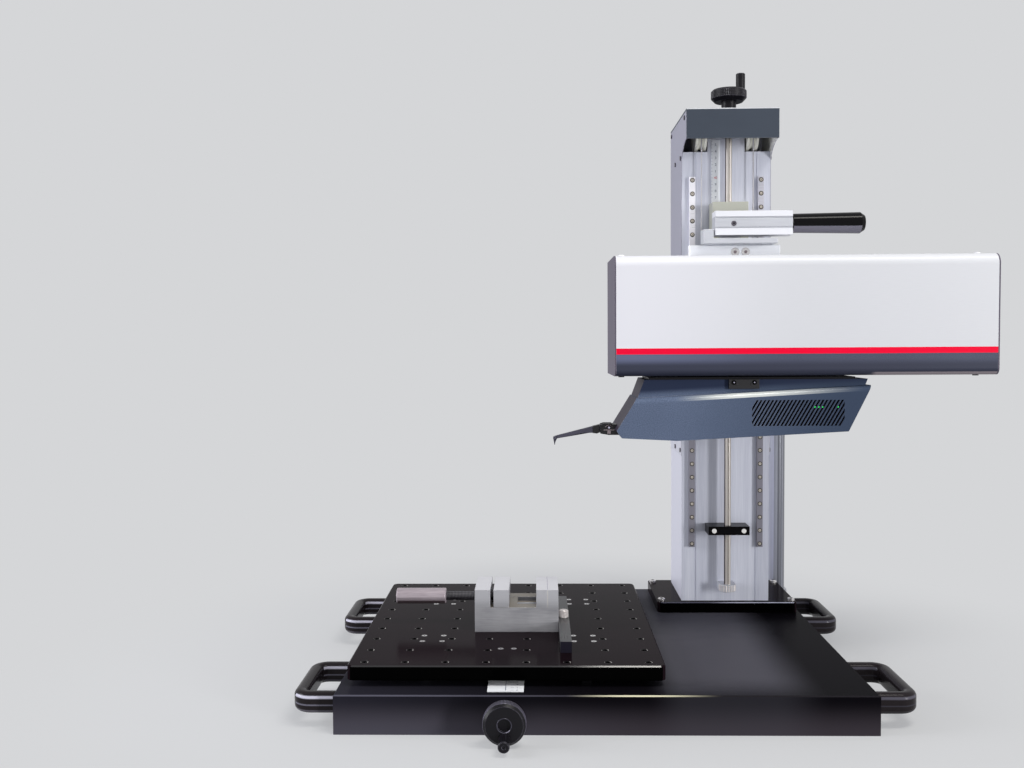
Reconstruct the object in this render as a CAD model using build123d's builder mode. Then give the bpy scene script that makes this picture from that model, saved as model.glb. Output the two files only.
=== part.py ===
"""Surface roughness tester: base, hole table with vice, column with lift carriage, drive unit and probe."""
import os
from math import cos, radians, sin, tan

from build123d import *

os.makedirs("parts", exist_ok=True)

C = Align.CENTER
LO = Align.MIN
HI = Align.MAX

# Base plate, standing on z = 0 with its centre at x = y = 0
base_width = 650
base_depth = 530
base_height = 48
base_edge = 1.5
base_front = -base_depth / 2
base_back = base_depth / 2
base_side = base_width / 2

# Carry handles on both sides of the base
grip_length = 132
grip_reach = 55
grip_thickness = 26
grip_wall = 17
grip_round = 7.5
grip_corner = 15.5
grip_bottom = 18
front_grip_set = 84
front_grip_y = base_front + front_grip_set
rear_grip_set = 106
rear_grip_y = base_back - rear_grip_set

# Hole table and its travel on the base
table_width = 390
table_depth = 430
table_thickness = 18
table_gap = 8
table_corner = 9
table_edge = 1.5
table_x = -119
table_set_back = 245
table_y = base_front + table_set_back
table_bottom = base_height + table_gap
table_top = table_bottom + table_thickness
hole_pitch = 50
hole_columns = 8
hole_rows = 9
hole_diameter = 6
table_block_dx = 100
table_block_dy = 97
table_block_width = 36
table_block_length = 42
table_block_gap = 1
table_rail_width = 12
table_rail_height = 5
table_rail_length = 376
slide_play = 0.3
block_screw_pitch = 26
flush_screw_diameter = 7.4
flush_screw_height = 3
flush_screw_play = 0.1

# Feed spindle of the table with its handwheel
spindle_diameter = 12
spindle_z = 28
running_play = 0.05
channel_width = 40
channel_floor = 10
spindle_seat = 24
nut_width = 32
nut_length = 24
nut_set = 143
nut_y = table_y - nut_set
channel_room = 40
channel_front = nut_y - channel_room
channel_length = 268
channel_back = channel_front + channel_length
nut_screw_pitch = 17
feed_wheel_diameter = 50
feed_wheel_front = base_front - 45
feed_wheel_rim = 15
feed_wheel_face = 44
feed_hub_diameter = 22
hub_gap = 0.5
feed_grip_orbit = 16
scale_plate_width = 44
scale_plate_length = 48
scale_plate_thickness = 1
scale_plate_margin = 12

# Crank grips of both handwheels
crank_grip_diameter = 13.6
crank_grip_length = 24
crank_pin_diameter = 5
crank_pin_length = 20
dimple_diameter = 4.4
dimple_depth = 1.2

# Foot plate and column
foot_width = 214
foot_depth = 151
foot_thickness = 16
foot_set = 154
foot_front = base_back - foot_set
foot_corner = 8
foot_screw_dx = 100
foot_screw_front = 13
foot_screw_pitch = 121
foot_screw_diameter = 11
foot_screw_height = 4
foot_top = base_height + foot_thickness
column_x = 211
foot_x = column_x + 2
column_width = 134
column_depth = 125
column_wall = 5
column_set = 12
column_front = foot_front + column_set
column_back = column_front + column_depth
column_top = 803
notch_bottom = 754.5
notch_inner = 28
notch_depth = 60
face_groove_dx = 46
face_groove_width = 1.5
face_groove_depth = 0.8
side_plate_thickness = 1
side_plate_bottom = 290
nose_bottom = 765
nose_radius = 22
cap_overhang = 55
cap_front = column_front - cap_overhang
cap_top = 809
cap_sheet = 3
cap_side = column_width / 2 + side_plate_thickness

# Rails, scale, stop and screw on the column face
rail_dx = 52
rail_width = 9
rail_height = 6.5
rail_top = 716
rail_bottom = 149
ruler_x = column_x - 16
ruler_width = 13
ruler_thickness = 0.8
ruler_top = notch_bottom + 17.5
ruler_bottom = 392
lift_screw_diameter = 10
lift_screw_y = column_front - 20
lift_screw_bottom = 84
stop_width = 62
stop_depth = 34
stop_bottom = 172.5
stop_height = 13
stop_screw_dx = 22.4
stop_screw_diameter = 7
stop_screw_height = 1.5
foot_bearing_width = 24
foot_bearing_top = 95
head_bearing_width = 40
head_bearing_bottom = 778
head_bearing_height = 16
side_screw_diameter = 7
side_screw_height = 1.6

# Lift handwheel above the cap
lift_wheel_diameter = 52
lift_wheel_bottom = cap_top + 15.5
lift_wheel_top = lift_wheel_bottom + 18
lift_wheel_chamfer = 5
lift_hub_diameter = 22
lift_grip_orbit = 17.5

# Pulleys, ropes and counterweight
pulley_dx = 39
pulley_width = 17
pulley_radius = 24
groove_radius = 20
groove_mouth = 10
groove_root = 3
pulley_y = column_front + 11
pulley_z = 780
axle_diameter = 8
rope_diameter = 2.4
rope_radius = groove_radius + 1.6
weight_width = 110
weight_depth = 84
weight_height = 150
weight_top = 420

# Carriage on the column
carriage_set = 71
carriage_front = column_front - carriage_set
carriage_plate_thickness = 12
carriage_width = 133
carriage_top = 607
carriage_height = 250
carriage_bottom = carriage_top - carriage_height
block_width = 20
runner_length = 60
runner_gap = 1
runner_roof = 3.5
spacer_width = 22
spacer_inset = 9
spacer_top = carriage_top - spacer_inset
spacer_bottom = carriage_bottom + spacer_inset
lift_nut_width = 53
lift_nut_front = column_front - 38
lift_nut_back = column_front - 4
nut_bracket_height = 70
lift_nut_top = spacer_top + 76
anchor_height = 12
flange_diameter = 120
flange_drop = 106
flange_z = carriage_top - flange_drop
flange_thickness = 19
unit_back = carriage_front - flange_thickness
pivot_diameter = 40
pivot_depth = 20

# Release lever with its bracket
lever_front = unit_back - 12
lever_thickness = 28
lever_left = column_x - 33.5
lever_right = lever_left + 110.5
lever_bottom = carriage_top + 11.5
lever_height = 34.5
lever_groove = 1.5
lever_pin_x = lever_left + 26.5
lever_pin_z = lever_bottom + 16.5
lever_pin_diameter = 8
lever_grip_length = 104.5
lever_grip_root = 27.5
lever_grip_end = 30.7
bracket_left = column_x - 43
bracket_right = bracket_left + 99
bracket_height = 7
cheek_thickness = 9
cheek_width = 28
stud_left = bracket_left - 7
stud_width = 14
stud_top = carriage_top + 20

# Drive unit
unit_overhang = 185
unit_left = column_x - unit_overhang
unit_length = 500
unit_depth = 138
unit_front = unit_back - unit_depth
unit_half_height = 80
unit_bottom = flange_z - unit_half_height
unit_height = 160
unit_top = unit_bottom + unit_height
unit_right = unit_left + unit_length
unit_top_radius = 14
unit_bottom_radius = 9
cover_thickness = 3
stripe_height = 8
stripe_bottom = unit_bottom + 29
stripe_top = stripe_bottom + stripe_height
end_cap_thickness = 2
edge_screw_inset = 8
right_screw_inset = 22
edge_screw_diameter = 8
edge_screw_height = 1.5
edge_screw_y = unit_front + 18
guide_y = unit_front + 55
guide_neck = 44
guide_head = 64
guide_neck_height = 8
guide_head_height = 8
guide_left = unit_left + 34
guide_right = unit_right - 16

# Probe slide and probe housing, leaning nose down
probe_tilt = 3
probe_front = unit_front + 5
probe_depth = 100
probe_left = unit_left + 7.7
probe_drop = 82.7
probe_floor = unit_bottom - probe_drop
probe_nose = (-6.5, 10)
probe_nose_run = 74
probe_base_run = 300
probe_belly = 7.5
probe_ridge = 52
probe_ridge_left = 22.5
probe_ridge_right = 333.5
probe_ridge_radius = 8
upper_recess = 10
upper_left = 24
upper_right = 327
upper_lean = 0.45
slide_gap = 0.5
slide_plate_left = unit_left + 44
slide_plate_length = 274
slide_plate_thickness = 3
slide_plate_drop = 2
slide_plate_depth = 84
slide_rib_share = 0.7
lock_plate_run = 162.8
lock_plate_x = probe_left + lock_plate_run
lock_plate_width = 40
lock_plate_height = 12.5
lock_plate_thickness = 5
lock_screw_diameter = 3
lock_screw_dx = 10
vent_count = 26
vent_pitch = 5.1
vent_run = 172.3
vent_left = probe_left + vent_run
vent_span = 122
vent_right = vent_left + vent_span
vent_bottom = probe_floor + 15.7
vent_height = 34.5
vent_width = 2.4
vent_depth = 4
vent_lean = 60
lamp_slots = (16, 17, 18, 22)
lamp_radius = 0.9
lamp_length = 1.2
lamp_z = vent_bottom + 25

# Stylus fork, arm and tip
fork_left = probe_left - 26.2
fork_bottom = probe_floor + 1.2
fork_height = 14.5
fork_depth = 24
fork_slot = 9
fork_slot_length = 19
fork_profile = ((0, 1.9), (11, 0), (28, 0), (28, 14.5), (16, 14.5), (0, 10.7))
stylus_pin_x = fork_left + 11.7
stylus_pin_z = fork_bottom + 10
stylus_pin_diameter = 3
pin_overhang = 0.6
eye_thickness = 8.4
eye_radius = 4.6
arm_root_radius = 3.6
arm_end_radius = 2.1
arm_end_x = stylus_pin_x - 74.2
arm_end_z = stylus_pin_z - 14
tip_holder_drop = 0.5
tip_length = 7.7
tip_radius = 0.3
tip_step = 0.3

# Vice on the table
vice_run = 46
vice_left = table_x - vice_run
vice_width = 113.5
vice_set = 67
vice_front = table_y - vice_set
vice_depth = 80
vice_height = 57.5
vice_floor = 33.5
left_pillar = 21
right_pillar = 14
jaw_gap_left = 4.5
jaw_thickness = 21
fixed_jaw_thickness = 16
vice_screw_z = table_top + 40
vice_screw_diameter = 12
vice_screw_out = 42
vice_handle_diameter = 21.5
vice_handle_length = 69
slot_width = 40
slot_depth = 12
guide_bar_diameter = 10
guide_bar_z = table_top + vice_floor - 6
tongue_reach = 11
tongue_drop = 0.4

# Stop rail with thumbscrew beside the vice
stop_rail_run = 67.8
stop_rail_left = table_x + stop_rail_run
stop_rail_width = 14.5
stop_rail_set = 162
stop_rail_front = table_y - stop_rail_set
stop_rail_length = 235
stop_rail_height = 14.4
thumb_y = table_y - 45
thumb_diameter = 12
thumb_height = 10
thumb_stem_diameter = 5
thumb_stem_length = 9

# Post behind the column
post_x = base_side
post_y = base_back + 13
post_diameter = 27
post_top = 560
post_stand_width = 30
post_stand_bottom = 8
post_clip_z = 470
post_clip_height = 24


def save(builder, name):
    """Label one sub-part and write its file."""
    builder.part.label = name
    export_step(builder.part, f"parts/{name}.step")


def bar_y(x, y, z, radius, length, mode=Mode.ADD):
    """A round bar, or a bore, from y to y + length."""
    with Locations(Location((x, y, z), (-90, 0, 0))):
        Cylinder(radius, length, align=(C, C, LO), mode=mode)


def bar_x(x, y, z, radius, length, mode=Mode.ADD):
    """A round bar, or a bore, from x to x + length."""
    with Locations(Location((x, y, z), (0, 90, 0))):
        Cylinder(radius, length, align=(C, C, LO), mode=mode)


def bar_z(x, y, z, radius, length, mode=Mode.ADD):
    """A round bar, or a bore, from z to z + length."""
    with Locations((x, y, z)):
        Cylinder(radius, length, align=(C, C, LO), mode=mode)


def block(x, y, z, size_x, size_y, size_z, mode=Mode.ADD, align=(C, LO, LO)):
    """A box seated at x, y and z by the given alignment."""
    with Locations((x, y, z)):
        Box(size_x, size_y, size_z, align=align, mode=mode)


# Base plate with the covered channel of the feed spindle
with BuildPart() as base_plate:
    Box(base_width, base_depth, base_height, align=(C, C, LO))
    chamfer(base_plate.faces().sort_by(Axis.Z)[-1].edges(), base_edge)
    block(
        table_x, channel_front, channel_floor,
        channel_width, channel_back - channel_front, base_height, Mode.SUBTRACT,
    )
    bar_y(
        table_x, base_front - 1, spindle_z, spindle_diameter / 2 + running_play,
        channel_back + spindle_seat - base_front + 1, Mode.SUBTRACT,
    )
save(base_plate, "base_plate")

with BuildPart() as feed_scale:
    block(
        table_x, base_front + scale_plate_margin, base_height,
        scale_plate_width, scale_plate_length, scale_plate_thickness,
    )
save(feed_scale, "feed_scale")


def carry_handle(side, centre_y, name):
    """A bow handle, swept with round corners: side is -1 on the left and 1 on the right."""
    middle_z = grip_bottom + grip_thickness / 2
    outer_x = side * (base_side + grip_reach - grip_wall / 2)
    leg_y = (grip_length - grip_wall) / 2
    with BuildPart() as handle:
        with BuildLine():
            FilletPolyline(
                (side * base_side, centre_y - leg_y, middle_z),
                (outer_x, centre_y - leg_y, middle_z),
                (outer_x, centre_y + leg_y, middle_z),
                (side * base_side, centre_y + leg_y, middle_z),
                radius=grip_corner,
            )
        with BuildSketch(Plane(
            origin=(side * base_side, centre_y - leg_y, middle_z), x_dir=(0, 1, 0), z_dir=(side, 0, 0),
        )):
            RectangleRounded(grip_wall, grip_thickness, grip_round)
        sweep()
    save(handle, name)


carry_handle(-1, front_grip_y, "handle_front_left")
carry_handle(1, front_grip_y, "handle_front_right")
carry_handle(-1, rear_grip_y, "handle_rear_left")
carry_handle(1, rear_grip_y, "handle_rear_right")

# Foot plate and its four screws
with BuildPart() as column_foot:
    block(foot_x, foot_front, base_height, foot_width, foot_depth, foot_thickness)
    fillet(column_foot.edges().filter_by(Axis.Z), foot_corner)
    chamfer(column_foot.faces().sort_by(Axis.Z)[-1].edges(), 1)
save(column_foot, "column_foot")

with BuildPart() as foot_screws:
    for dx in (-foot_screw_dx, foot_screw_dx):
        for dy in (foot_screw_front, foot_screw_front + foot_screw_pitch):
            bar_z(foot_x + dx, foot_front + dy, foot_top, foot_screw_diameter / 2, foot_screw_height)
    chamfer(foot_screws.faces().filter_by(Axis.Z).edges().filter_by(
        lambda e: e.center().Z > foot_top + 1), 1.2)
save(foot_screws, "foot_screws")

# Column: a hollow profile with two notches for the pulleys
with BuildPart() as column_profile:
    block(column_x, column_front, foot_top, column_width, column_depth, column_top - foot_top)
    block(
        column_x, column_front + column_wall, foot_top, column_width - 2 * column_wall,
        column_depth - 2 * column_wall, column_top - foot_top, Mode.SUBTRACT,
    )
    for side in (-1, 1):
        notch = (column_width / 2 + notch_inner) / 2
        block(
            column_x + side * notch, column_front, notch_bottom, column_width / 2 - notch_inner,
            notch_depth, column_top - notch_bottom, Mode.SUBTRACT,
        )
    for side in (-1, 1):
        block(
            column_x + side * face_groove_dx, column_front, foot_top, face_groove_width,
            face_groove_depth, notch_bottom - foot_top, Mode.SUBTRACT,
        )
save(column_profile, "column_profile")

# Side plates of the column with the nose under the cap
with BuildPart() as column_side_plates:
    for side in (-1, 1):
        start = column_x + side * column_width / 2 + (0 if side > 0 else -side_plate_thickness)
        with BuildSketch(Plane.YZ.offset(start)):
            with BuildLine():
                Polyline(
                    (cap_front + cap_sheet, nose_bottom),
                    (cap_front + cap_sheet, cap_top - cap_sheet),
                    (column_back, cap_top - cap_sheet),
                    (column_back, side_plate_bottom),
                    (column_front, side_plate_bottom),
                    (column_front, nose_bottom - nose_radius),
                )
                ThreePointArc(
                    (column_front, nose_bottom - nose_radius),
                    (column_front - 0.45 * (column_front - cap_front), nose_bottom - 0.2 * nose_radius),
                    (cap_front + cap_sheet, nose_bottom),
                )
            make_face()
        extrude(amount=side_plate_thickness)
save(column_side_plates, "column_side_plates")

# Cap over the pulleys, bent from sheet
with BuildPart() as column_cap:
    block(column_x, cap_front, nose_bottom, 2 * cap_side, cap_sheet, cap_top - nose_bottom)
    block(column_x, cap_front, cap_top - cap_sheet, 2 * cap_side, column_back - cap_front, cap_sheet)
    bar_z(
        column_x, lift_screw_y, cap_top - cap_sheet - 1, lift_hub_diameter / 2 + 1,
        cap_sheet + 2, Mode.SUBTRACT,
    )
save(column_cap, "column_cap")

# Guide rails on the column face
with BuildPart() as guide_rails:
    for side in (-1, 1):
        block(
            column_x + side * rail_dx, column_front, rail_bottom, rail_width, rail_height,
            rail_top - rail_bottom, align=(C, HI, LO),
        )
save(guide_rails, "guide_rails")

with BuildPart() as column_screws:
    for side in (-1, 1):
        for y, z in (
            (cap_front + 20, cap_top - 10),
            (column_back - 14, cap_top - 10),
            (column_front + 6, nose_bottom - 19),
            (column_front + 65, nose_bottom - 19),
            (column_front + 6, side_plate_bottom + 8),
            (column_front + 63, side_plate_bottom + 8),
        ):
            start = column_x + (cap_side if side > 0 else -cap_side - side_screw_height)
            bar_x(start, y, z, side_screw_diameter / 2, side_screw_height)
        bar_y(
            column_x + side * stop_screw_dx, column_front - stop_depth - stop_screw_height,
            stop_bottom + stop_height / 2, stop_screw_diameter / 2, stop_screw_height,
        )
save(column_screws, "column_screws")

with BuildPart() as column_scale:
    block(
        ruler_x, column_front, ruler_bottom, ruler_width, ruler_thickness,
        ruler_top - ruler_bottom, align=(C, HI, LO),
    )
save(column_scale, "column_scale")

# Lower stop of the carriage, with the lift screw passing through
with BuildPart() as limit_block:
    block(column_x, column_front, stop_bottom, stop_width, stop_depth, stop_height, align=(C, HI, LO))
    bar_z(
        column_x, lift_screw_y, stop_bottom - 1, lift_screw_diameter / 2 + 0.6,
        stop_height + 2, Mode.SUBTRACT,
    )
save(limit_block, "limit_block")

# Bearings of the lift screw at the foot and under the cap
with BuildPart() as screw_bearings:
    half = foot_bearing_width / 2
    bar_z(column_x, lift_screw_y, lift_screw_bottom, half, foot_bearing_top - lift_screw_bottom)
    block(
        column_x, column_front, lift_screw_bottom, foot_bearing_width, column_front - lift_screw_y,
        foot_bearing_top - lift_screw_bottom, align=(C, HI, LO),
    )
    block(
        column_x, column_front, head_bearing_bottom, head_bearing_width,
        column_front - lift_screw_y + half, head_bearing_height, align=(C, HI, LO),
    )
    for z, length in (
        (lift_screw_bottom + 3, foot_bearing_top - lift_screw_bottom),
        (head_bearing_bottom - 1, head_bearing_height + 2),
    ):
        bar_z(
            column_x, lift_screw_y, z, lift_screw_diameter / 2 + running_play, length, Mode.SUBTRACT,
        )
save(screw_bearings, "screw_bearings")

# Pulleys on a fixed axle, ropes and counterweight
with BuildPart() as pulley_axle:
    bar_x(column_x - column_width / 2, pulley_y, pulley_z, axle_diameter / 2, column_width)
save(pulley_axle, "pulley_axle")

with BuildPart() as pulleys:
    bore = axle_diameter / 2 + running_play
    for side in (-1, 1):
        middle = column_x + side * pulley_dx
        with BuildSketch(Plane.XY.offset(pulley_z)):
            with BuildLine():
                Polyline(
                    (middle - pulley_width / 2, pulley_y + bore),
                    (middle - pulley_width / 2, pulley_y + pulley_radius),
                    (middle - groove_mouth / 2, pulley_y + pulley_radius),
                    (middle - groove_root / 2, pulley_y + groove_radius),
                    (middle + groove_root / 2, pulley_y + groove_radius),
                    (middle + groove_mouth / 2, pulley_y + pulley_radius),
                    (middle + pulley_width / 2, pulley_y + pulley_radius),
                    (middle + pulley_width / 2, pulley_y + bore),
                    close=True,
                )
            make_face()
        revolve(axis=Axis((column_x, pulley_y, pulley_z), (1, 0, 0)))
save(pulleys, "pulleys")

rope_front_y = pulley_y - rope_radius
rope_back_y = pulley_y + rope_radius
anchor_top = spacer_top
with BuildPart() as front_ropes:
    for side in (-1, 1):
        bar_z(
            column_x + side * pulley_dx, rope_front_y, anchor_top, rope_diameter / 2,
            pulley_z - anchor_top,
        )
save(front_ropes, "front_ropes")

with BuildPart() as back_ropes:
    for side in (-1, 1):
        bar_z(
            column_x + side * pulley_dx, rope_back_y, weight_top, rope_diameter / 2,
            pulley_z - weight_top,
        )
save(back_ropes, "back_ropes")

with BuildPart() as rope_bends:
    for side in (-1, 1):
        with BuildSketch(Plane.XY.offset(pulley_z)):
            with Locations((column_x + side * pulley_dx, rope_front_y)):
                Circle(rope_diameter / 2)
        revolve(
            axis=Axis((column_x, pulley_y, pulley_z), (1, 0, 0)),
            revolution_arc=-180,
        )
save(rope_bends, "rope_bends")

with BuildPart() as counterweight:
    block(
        column_x, column_front + column_depth / 2, weight_top, weight_width, weight_depth,
        weight_height, align=(C, C, HI),
    )
save(counterweight, "counterweight")

# Round post clamped behind the column
with BuildPart() as rear_post:
    bar_z(post_x, post_y, base_height, post_diameter / 2, post_top - base_height)
    chamfer(rear_post.faces().sort_by(Axis.Z)[-1].edges(), 1.5)
save(rear_post, "rear_post")

with BuildPart() as post_holders:
    block(
        post_x, -base_front, post_stand_bottom, post_stand_width,
        post_y + post_diameter / 2 + base_front, base_height - post_stand_bottom,
    )
    block(
        column_x + 20, column_back, post_clip_z, post_x - column_x - 20,
        post_y - column_back, post_clip_height, align=(LO, LO, LO),
    )
    bar_z(post_x, post_y, post_clip_z, post_diameter / 2 + 5, post_clip_height)
    bar_z(post_x, post_y, post_clip_z - 1, post_diameter / 2, post_clip_height + 2, Mode.SUBTRACT)
save(post_holders, "post_holders")

# Carriage running on the two rails
carriage_back = carriage_front + carriage_plate_thickness
block_front = column_front - rail_height - runner_roof
with BuildPart() as carriage_plate:
    block(
        column_x, carriage_front, carriage_bottom, carriage_width, carriage_plate_thickness,
        carriage_top - carriage_bottom,
    )
    bar_y(
        column_x, carriage_front - 1, flange_z, pivot_diameter / 2,
        carriage_plate_thickness + 2, Mode.SUBTRACT,
    )
    chamfer(carriage_plate.faces().sort_by(Axis.Y)[0].outer_wire().edges(), 1.2)
save(carriage_plate, "carriage_plate")

with BuildPart() as carriage_blocks:
    for side in (-1, 1):
        x = column_x + side * rail_dx
        block(
            x, carriage_back, spacer_bottom, spacer_width, block_front - carriage_back,
            spacer_top - spacer_bottom,
        )
        for z in (spacer_bottom, spacer_top - runner_length):
            block(
                x, block_front, z, block_width, column_front - runner_gap - block_front,
                runner_length,
            )
            block(
                x, column_front, z - 1, rail_width + 2 * slide_play, rail_height + slide_play,
                runner_length + 2, Mode.SUBTRACT, (C, HI, LO),
            )
    block(
        column_x, rope_front_y - 5, spacer_top - anchor_height, 2 * rail_dx - spacer_width,
        10, anchor_height,
    )
    bar_z(
        column_x, lift_screw_y, spacer_top - anchor_height - 1, lift_screw_diameter / 2 + 3,
        anchor_height + 2, Mode.SUBTRACT,
    )
    fill = lift_nut_front - carriage_back
    block(
        column_x, carriage_back, spacer_top - nut_bracket_height, lift_nut_width, fill,
        nut_bracket_height,
    )
save(carriage_blocks, "carriage_blocks")

with BuildPart() as lift_nut:
    block(
        column_x, lift_nut_front, spacer_top, lift_nut_width, lift_nut_back - lift_nut_front,
        lift_nut_top - spacer_top,
    )
    bar_z(
        column_x, lift_screw_y, spacer_top - 1, lift_screw_diameter / 2 + running_play,
        lift_nut_top - spacer_top + 2, Mode.SUBTRACT,
    )
save(lift_nut, "lift_nut")

with BuildPart() as tilt_flange:
    bar_y(column_x, unit_back, flange_z, flange_diameter / 2, carriage_front - unit_back)
    bar_y(
        column_x, unit_back - 1, flange_z, pivot_diameter / 2, carriage_front - unit_back + 2,
        Mode.SUBTRACT,
    )
save(tilt_flange, "tilt_flange")

# Bracket of the release lever, with its cheek and pin
with BuildPart() as lever_bracket:
    block(
        (bracket_left + bracket_right) / 2, lever_front, carriage_top, bracket_right - bracket_left,
        carriage_back - lever_front, bracket_height,
    )
    block(
        stud_left + stud_width / 2, lever_front, carriage_top, stud_width,
        lever_thickness, stud_top - carriage_top,
    )
    block(
        lever_pin_x, lever_front + lever_thickness + slide_play, carriage_top, cheek_width,
        cheek_thickness, lever_pin_z + cheek_width / 2 - carriage_top,
    )
    bar_y(
        lever_pin_x, lever_front, lever_pin_z, lever_pin_diameter / 2,
        lever_thickness + slide_play + cheek_thickness,
    )
save(lever_bracket, "lever_bracket")

lever_middle = lever_front + lever_thickness / 2
with BuildPart() as lever_bar:
    block(
        lever_left, lever_front, lever_bottom, lever_right - lever_left, lever_thickness,
        lever_height, align=(LO, LO, LO),
    )
    for z in (0.3, 0.72):
        block(
            lever_left, lever_front, lever_bottom + z * lever_height, lever_right - lever_left,
            lever_groove, 2.4, Mode.SUBTRACT, (LO, LO, C),
        )
    bar_y(
        lever_pin_x, lever_front - 1, lever_pin_z, lever_pin_diameter / 2 + running_play,
        lever_thickness + 2, Mode.SUBTRACT,
    )
save(lever_bar, "lever_bar")

with BuildPart() as lever_grip:
    with BuildSketch(Plane.XZ.offset(-lever_middle)):
        axis_z = lever_bottom + lever_height / 2
        with BuildLine():
            Polyline(
                (lever_right, axis_z),
                (lever_right, axis_z + lever_grip_root / 2 - 2),
                (lever_right + 2, axis_z + lever_grip_root / 2),
                (lever_right + lever_grip_length - 6, axis_z + lever_grip_end / 2),
                (lever_right + lever_grip_length, axis_z + lever_grip_end / 2 - 4),
                (lever_right + lever_grip_length, axis_z),
                close=True,
            )
        make_face()
    revolve(axis=Axis((lever_right, lever_middle, axis_z), (1, 0, 0)))
save(lever_grip, "lever_grip")

# Lift screw with its handwheel and crank grip
wheel_middle = (lift_wheel_bottom + lift_wheel_top) / 2
with BuildPart() as lift_screw:
    bar_z(
        column_x, lift_screw_y, lift_screw_bottom + 4, lift_screw_diameter / 2,
        cap_top + 1 - lift_screw_bottom - 4,
    )
save(lift_screw, "lift_screw")

lift_pin_z = lift_wheel_top
with BuildPart() as lift_handwheel:
    bar_z(column_x, lift_screw_y, cap_top + 1, lift_hub_diameter / 2, lift_wheel_bottom - cap_top - 1)
    bar_z(
        column_x, lift_screw_y, lift_wheel_bottom, lift_wheel_diameter / 2,
        lift_wheel_top - lift_wheel_bottom,
    )
    rims = lift_handwheel.edges().filter_by(GeomType.CIRCLE).filter_by(
        lambda e: e.radius > lift_wheel_diameter / 2 - 0.5)
    chamfer(rims.filter_by(lambda e: e.center().Z < wheel_middle), lift_wheel_chamfer)
    chamfer(rims.filter_by(lambda e: e.center().Z > wheel_middle), 2)
    bar_z(column_x + lift_grip_orbit, lift_screw_y, lift_pin_z, crank_pin_diameter / 2, crank_pin_length)
save(lift_handwheel, "lift_handwheel")

with BuildPart() as lift_crank_grip:
    bar_z(
        column_x + lift_grip_orbit, lift_screw_y, lift_pin_z + slide_play, crank_grip_diameter / 2,
        crank_grip_length,
    )
    bar_z(
        column_x + lift_grip_orbit, lift_screw_y, lift_pin_z, crank_pin_diameter / 2 + running_play,
        crank_pin_length + slide_play, Mode.SUBTRACT,
    )
    chamfer(lift_crank_grip.faces().sort_by(Axis.Z)[-1].edges(), 1)
    bar_z(
        column_x + lift_grip_orbit, lift_screw_y,
        lift_pin_z + slide_play + crank_grip_length - dimple_depth, dimple_diameter / 2,
        2 * dimple_depth, Mode.SUBTRACT,
    )
save(lift_crank_grip, "lift_crank_grip")

# Drive unit: a rounded housing with a slot below for the probe slide
with BuildPart() as unit_housing:
    with BuildSketch(Plane.YZ.offset(unit_left)):
        with BuildLine():
            top = unit_top - cover_thickness
            face = unit_front + cover_thickness
            radius = unit_top_radius - cover_thickness
            Line((unit_back, unit_bottom), (unit_back, top))
            Line((unit_back, top), (face + radius, top))
            RadiusArc((face + radius, top), (face, top - radius), -radius)
            Line((face, top - radius), (face, stripe_bottom))
            Line((face, stripe_bottom), (unit_front, stripe_bottom))
            Line((unit_front, stripe_bottom), (unit_front, unit_bottom + unit_bottom_radius))
            RadiusArc(
                (unit_front, unit_bottom + unit_bottom_radius),
                (unit_front + unit_bottom_radius, unit_bottom),
                -unit_bottom_radius,
            )
            Line((unit_front + unit_bottom_radius, unit_bottom), (unit_back, unit_bottom))
        make_face()
    extrude(amount=unit_length)
    guide_length = guide_right - guide_left
    block(
        guide_left, guide_y, unit_bottom, guide_length, guide_neck, guide_neck_height,
        Mode.SUBTRACT, (LO, C, LO),
    )
    block(
        guide_left, guide_y, unit_bottom + guide_neck_height, guide_length, guide_head,
        guide_head_height, Mode.SUBTRACT, (LO, C, LO),
    )
    bar_y(column_x, unit_back, flange_z, pivot_diameter / 2 - running_play, pivot_depth)
save(unit_housing, "unit_housing")

with BuildPart() as unit_cover:
    with BuildSketch(Plane.YZ.offset(unit_left)):
        with BuildLine():
            top = unit_top - cover_thickness
            face = unit_front + cover_thickness
            radius = unit_top_radius - cover_thickness
            Line((unit_back, top), (face + radius, top))
            RadiusArc((face + radius, top), (face, top - radius), -radius)
            Line((face, top - radius), (face, stripe_top))
            Line((face, stripe_top), (unit_front, stripe_top))
            Line((unit_front, stripe_top), (unit_front, unit_top - unit_top_radius))
            RadiusArc(
                (unit_front, unit_top - unit_top_radius),
                (unit_front + unit_top_radius, unit_top),
                unit_top_radius,
            )
            Line((unit_front + unit_top_radius, unit_top), (unit_back, unit_top))
            Line((unit_back, unit_top), (unit_back, top))
        make_face()
    extrude(amount=unit_length)
save(unit_cover, "unit_cover")

with BuildPart() as trim_stripe:
    block(
        unit_left, unit_front, stripe_bottom, unit_length, cover_thickness, stripe_height,
        align=(LO, LO, LO),
    )
save(trim_stripe, "trim_stripe")

with BuildPart() as end_caps:
    for x in (unit_left - end_cap_thickness, unit_right):
        with BuildSketch(Plane.YZ.offset(x)):
            with BuildLine():
                Line((unit_back, unit_bottom), (unit_back, unit_top))
                Line((unit_back, unit_top), (unit_front + unit_top_radius, unit_top))
                RadiusArc(
                    (unit_front + unit_top_radius, unit_top),
                    (unit_front, unit_top - unit_top_radius),
                    -unit_top_radius,
                )
                Line(
                    (unit_front, unit_top - unit_top_radius),
                    (unit_front, unit_bottom + unit_bottom_radius),
                )
                RadiusArc(
                    (unit_front, unit_bottom + unit_bottom_radius),
                    (unit_front + unit_bottom_radius, unit_bottom),
                    -unit_bottom_radius,
                )
                Line((unit_front + unit_bottom_radius, unit_bottom), (unit_back, unit_bottom))
            make_face()
        extrude(amount=end_cap_thickness)
save(end_caps, "end_caps")

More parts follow.
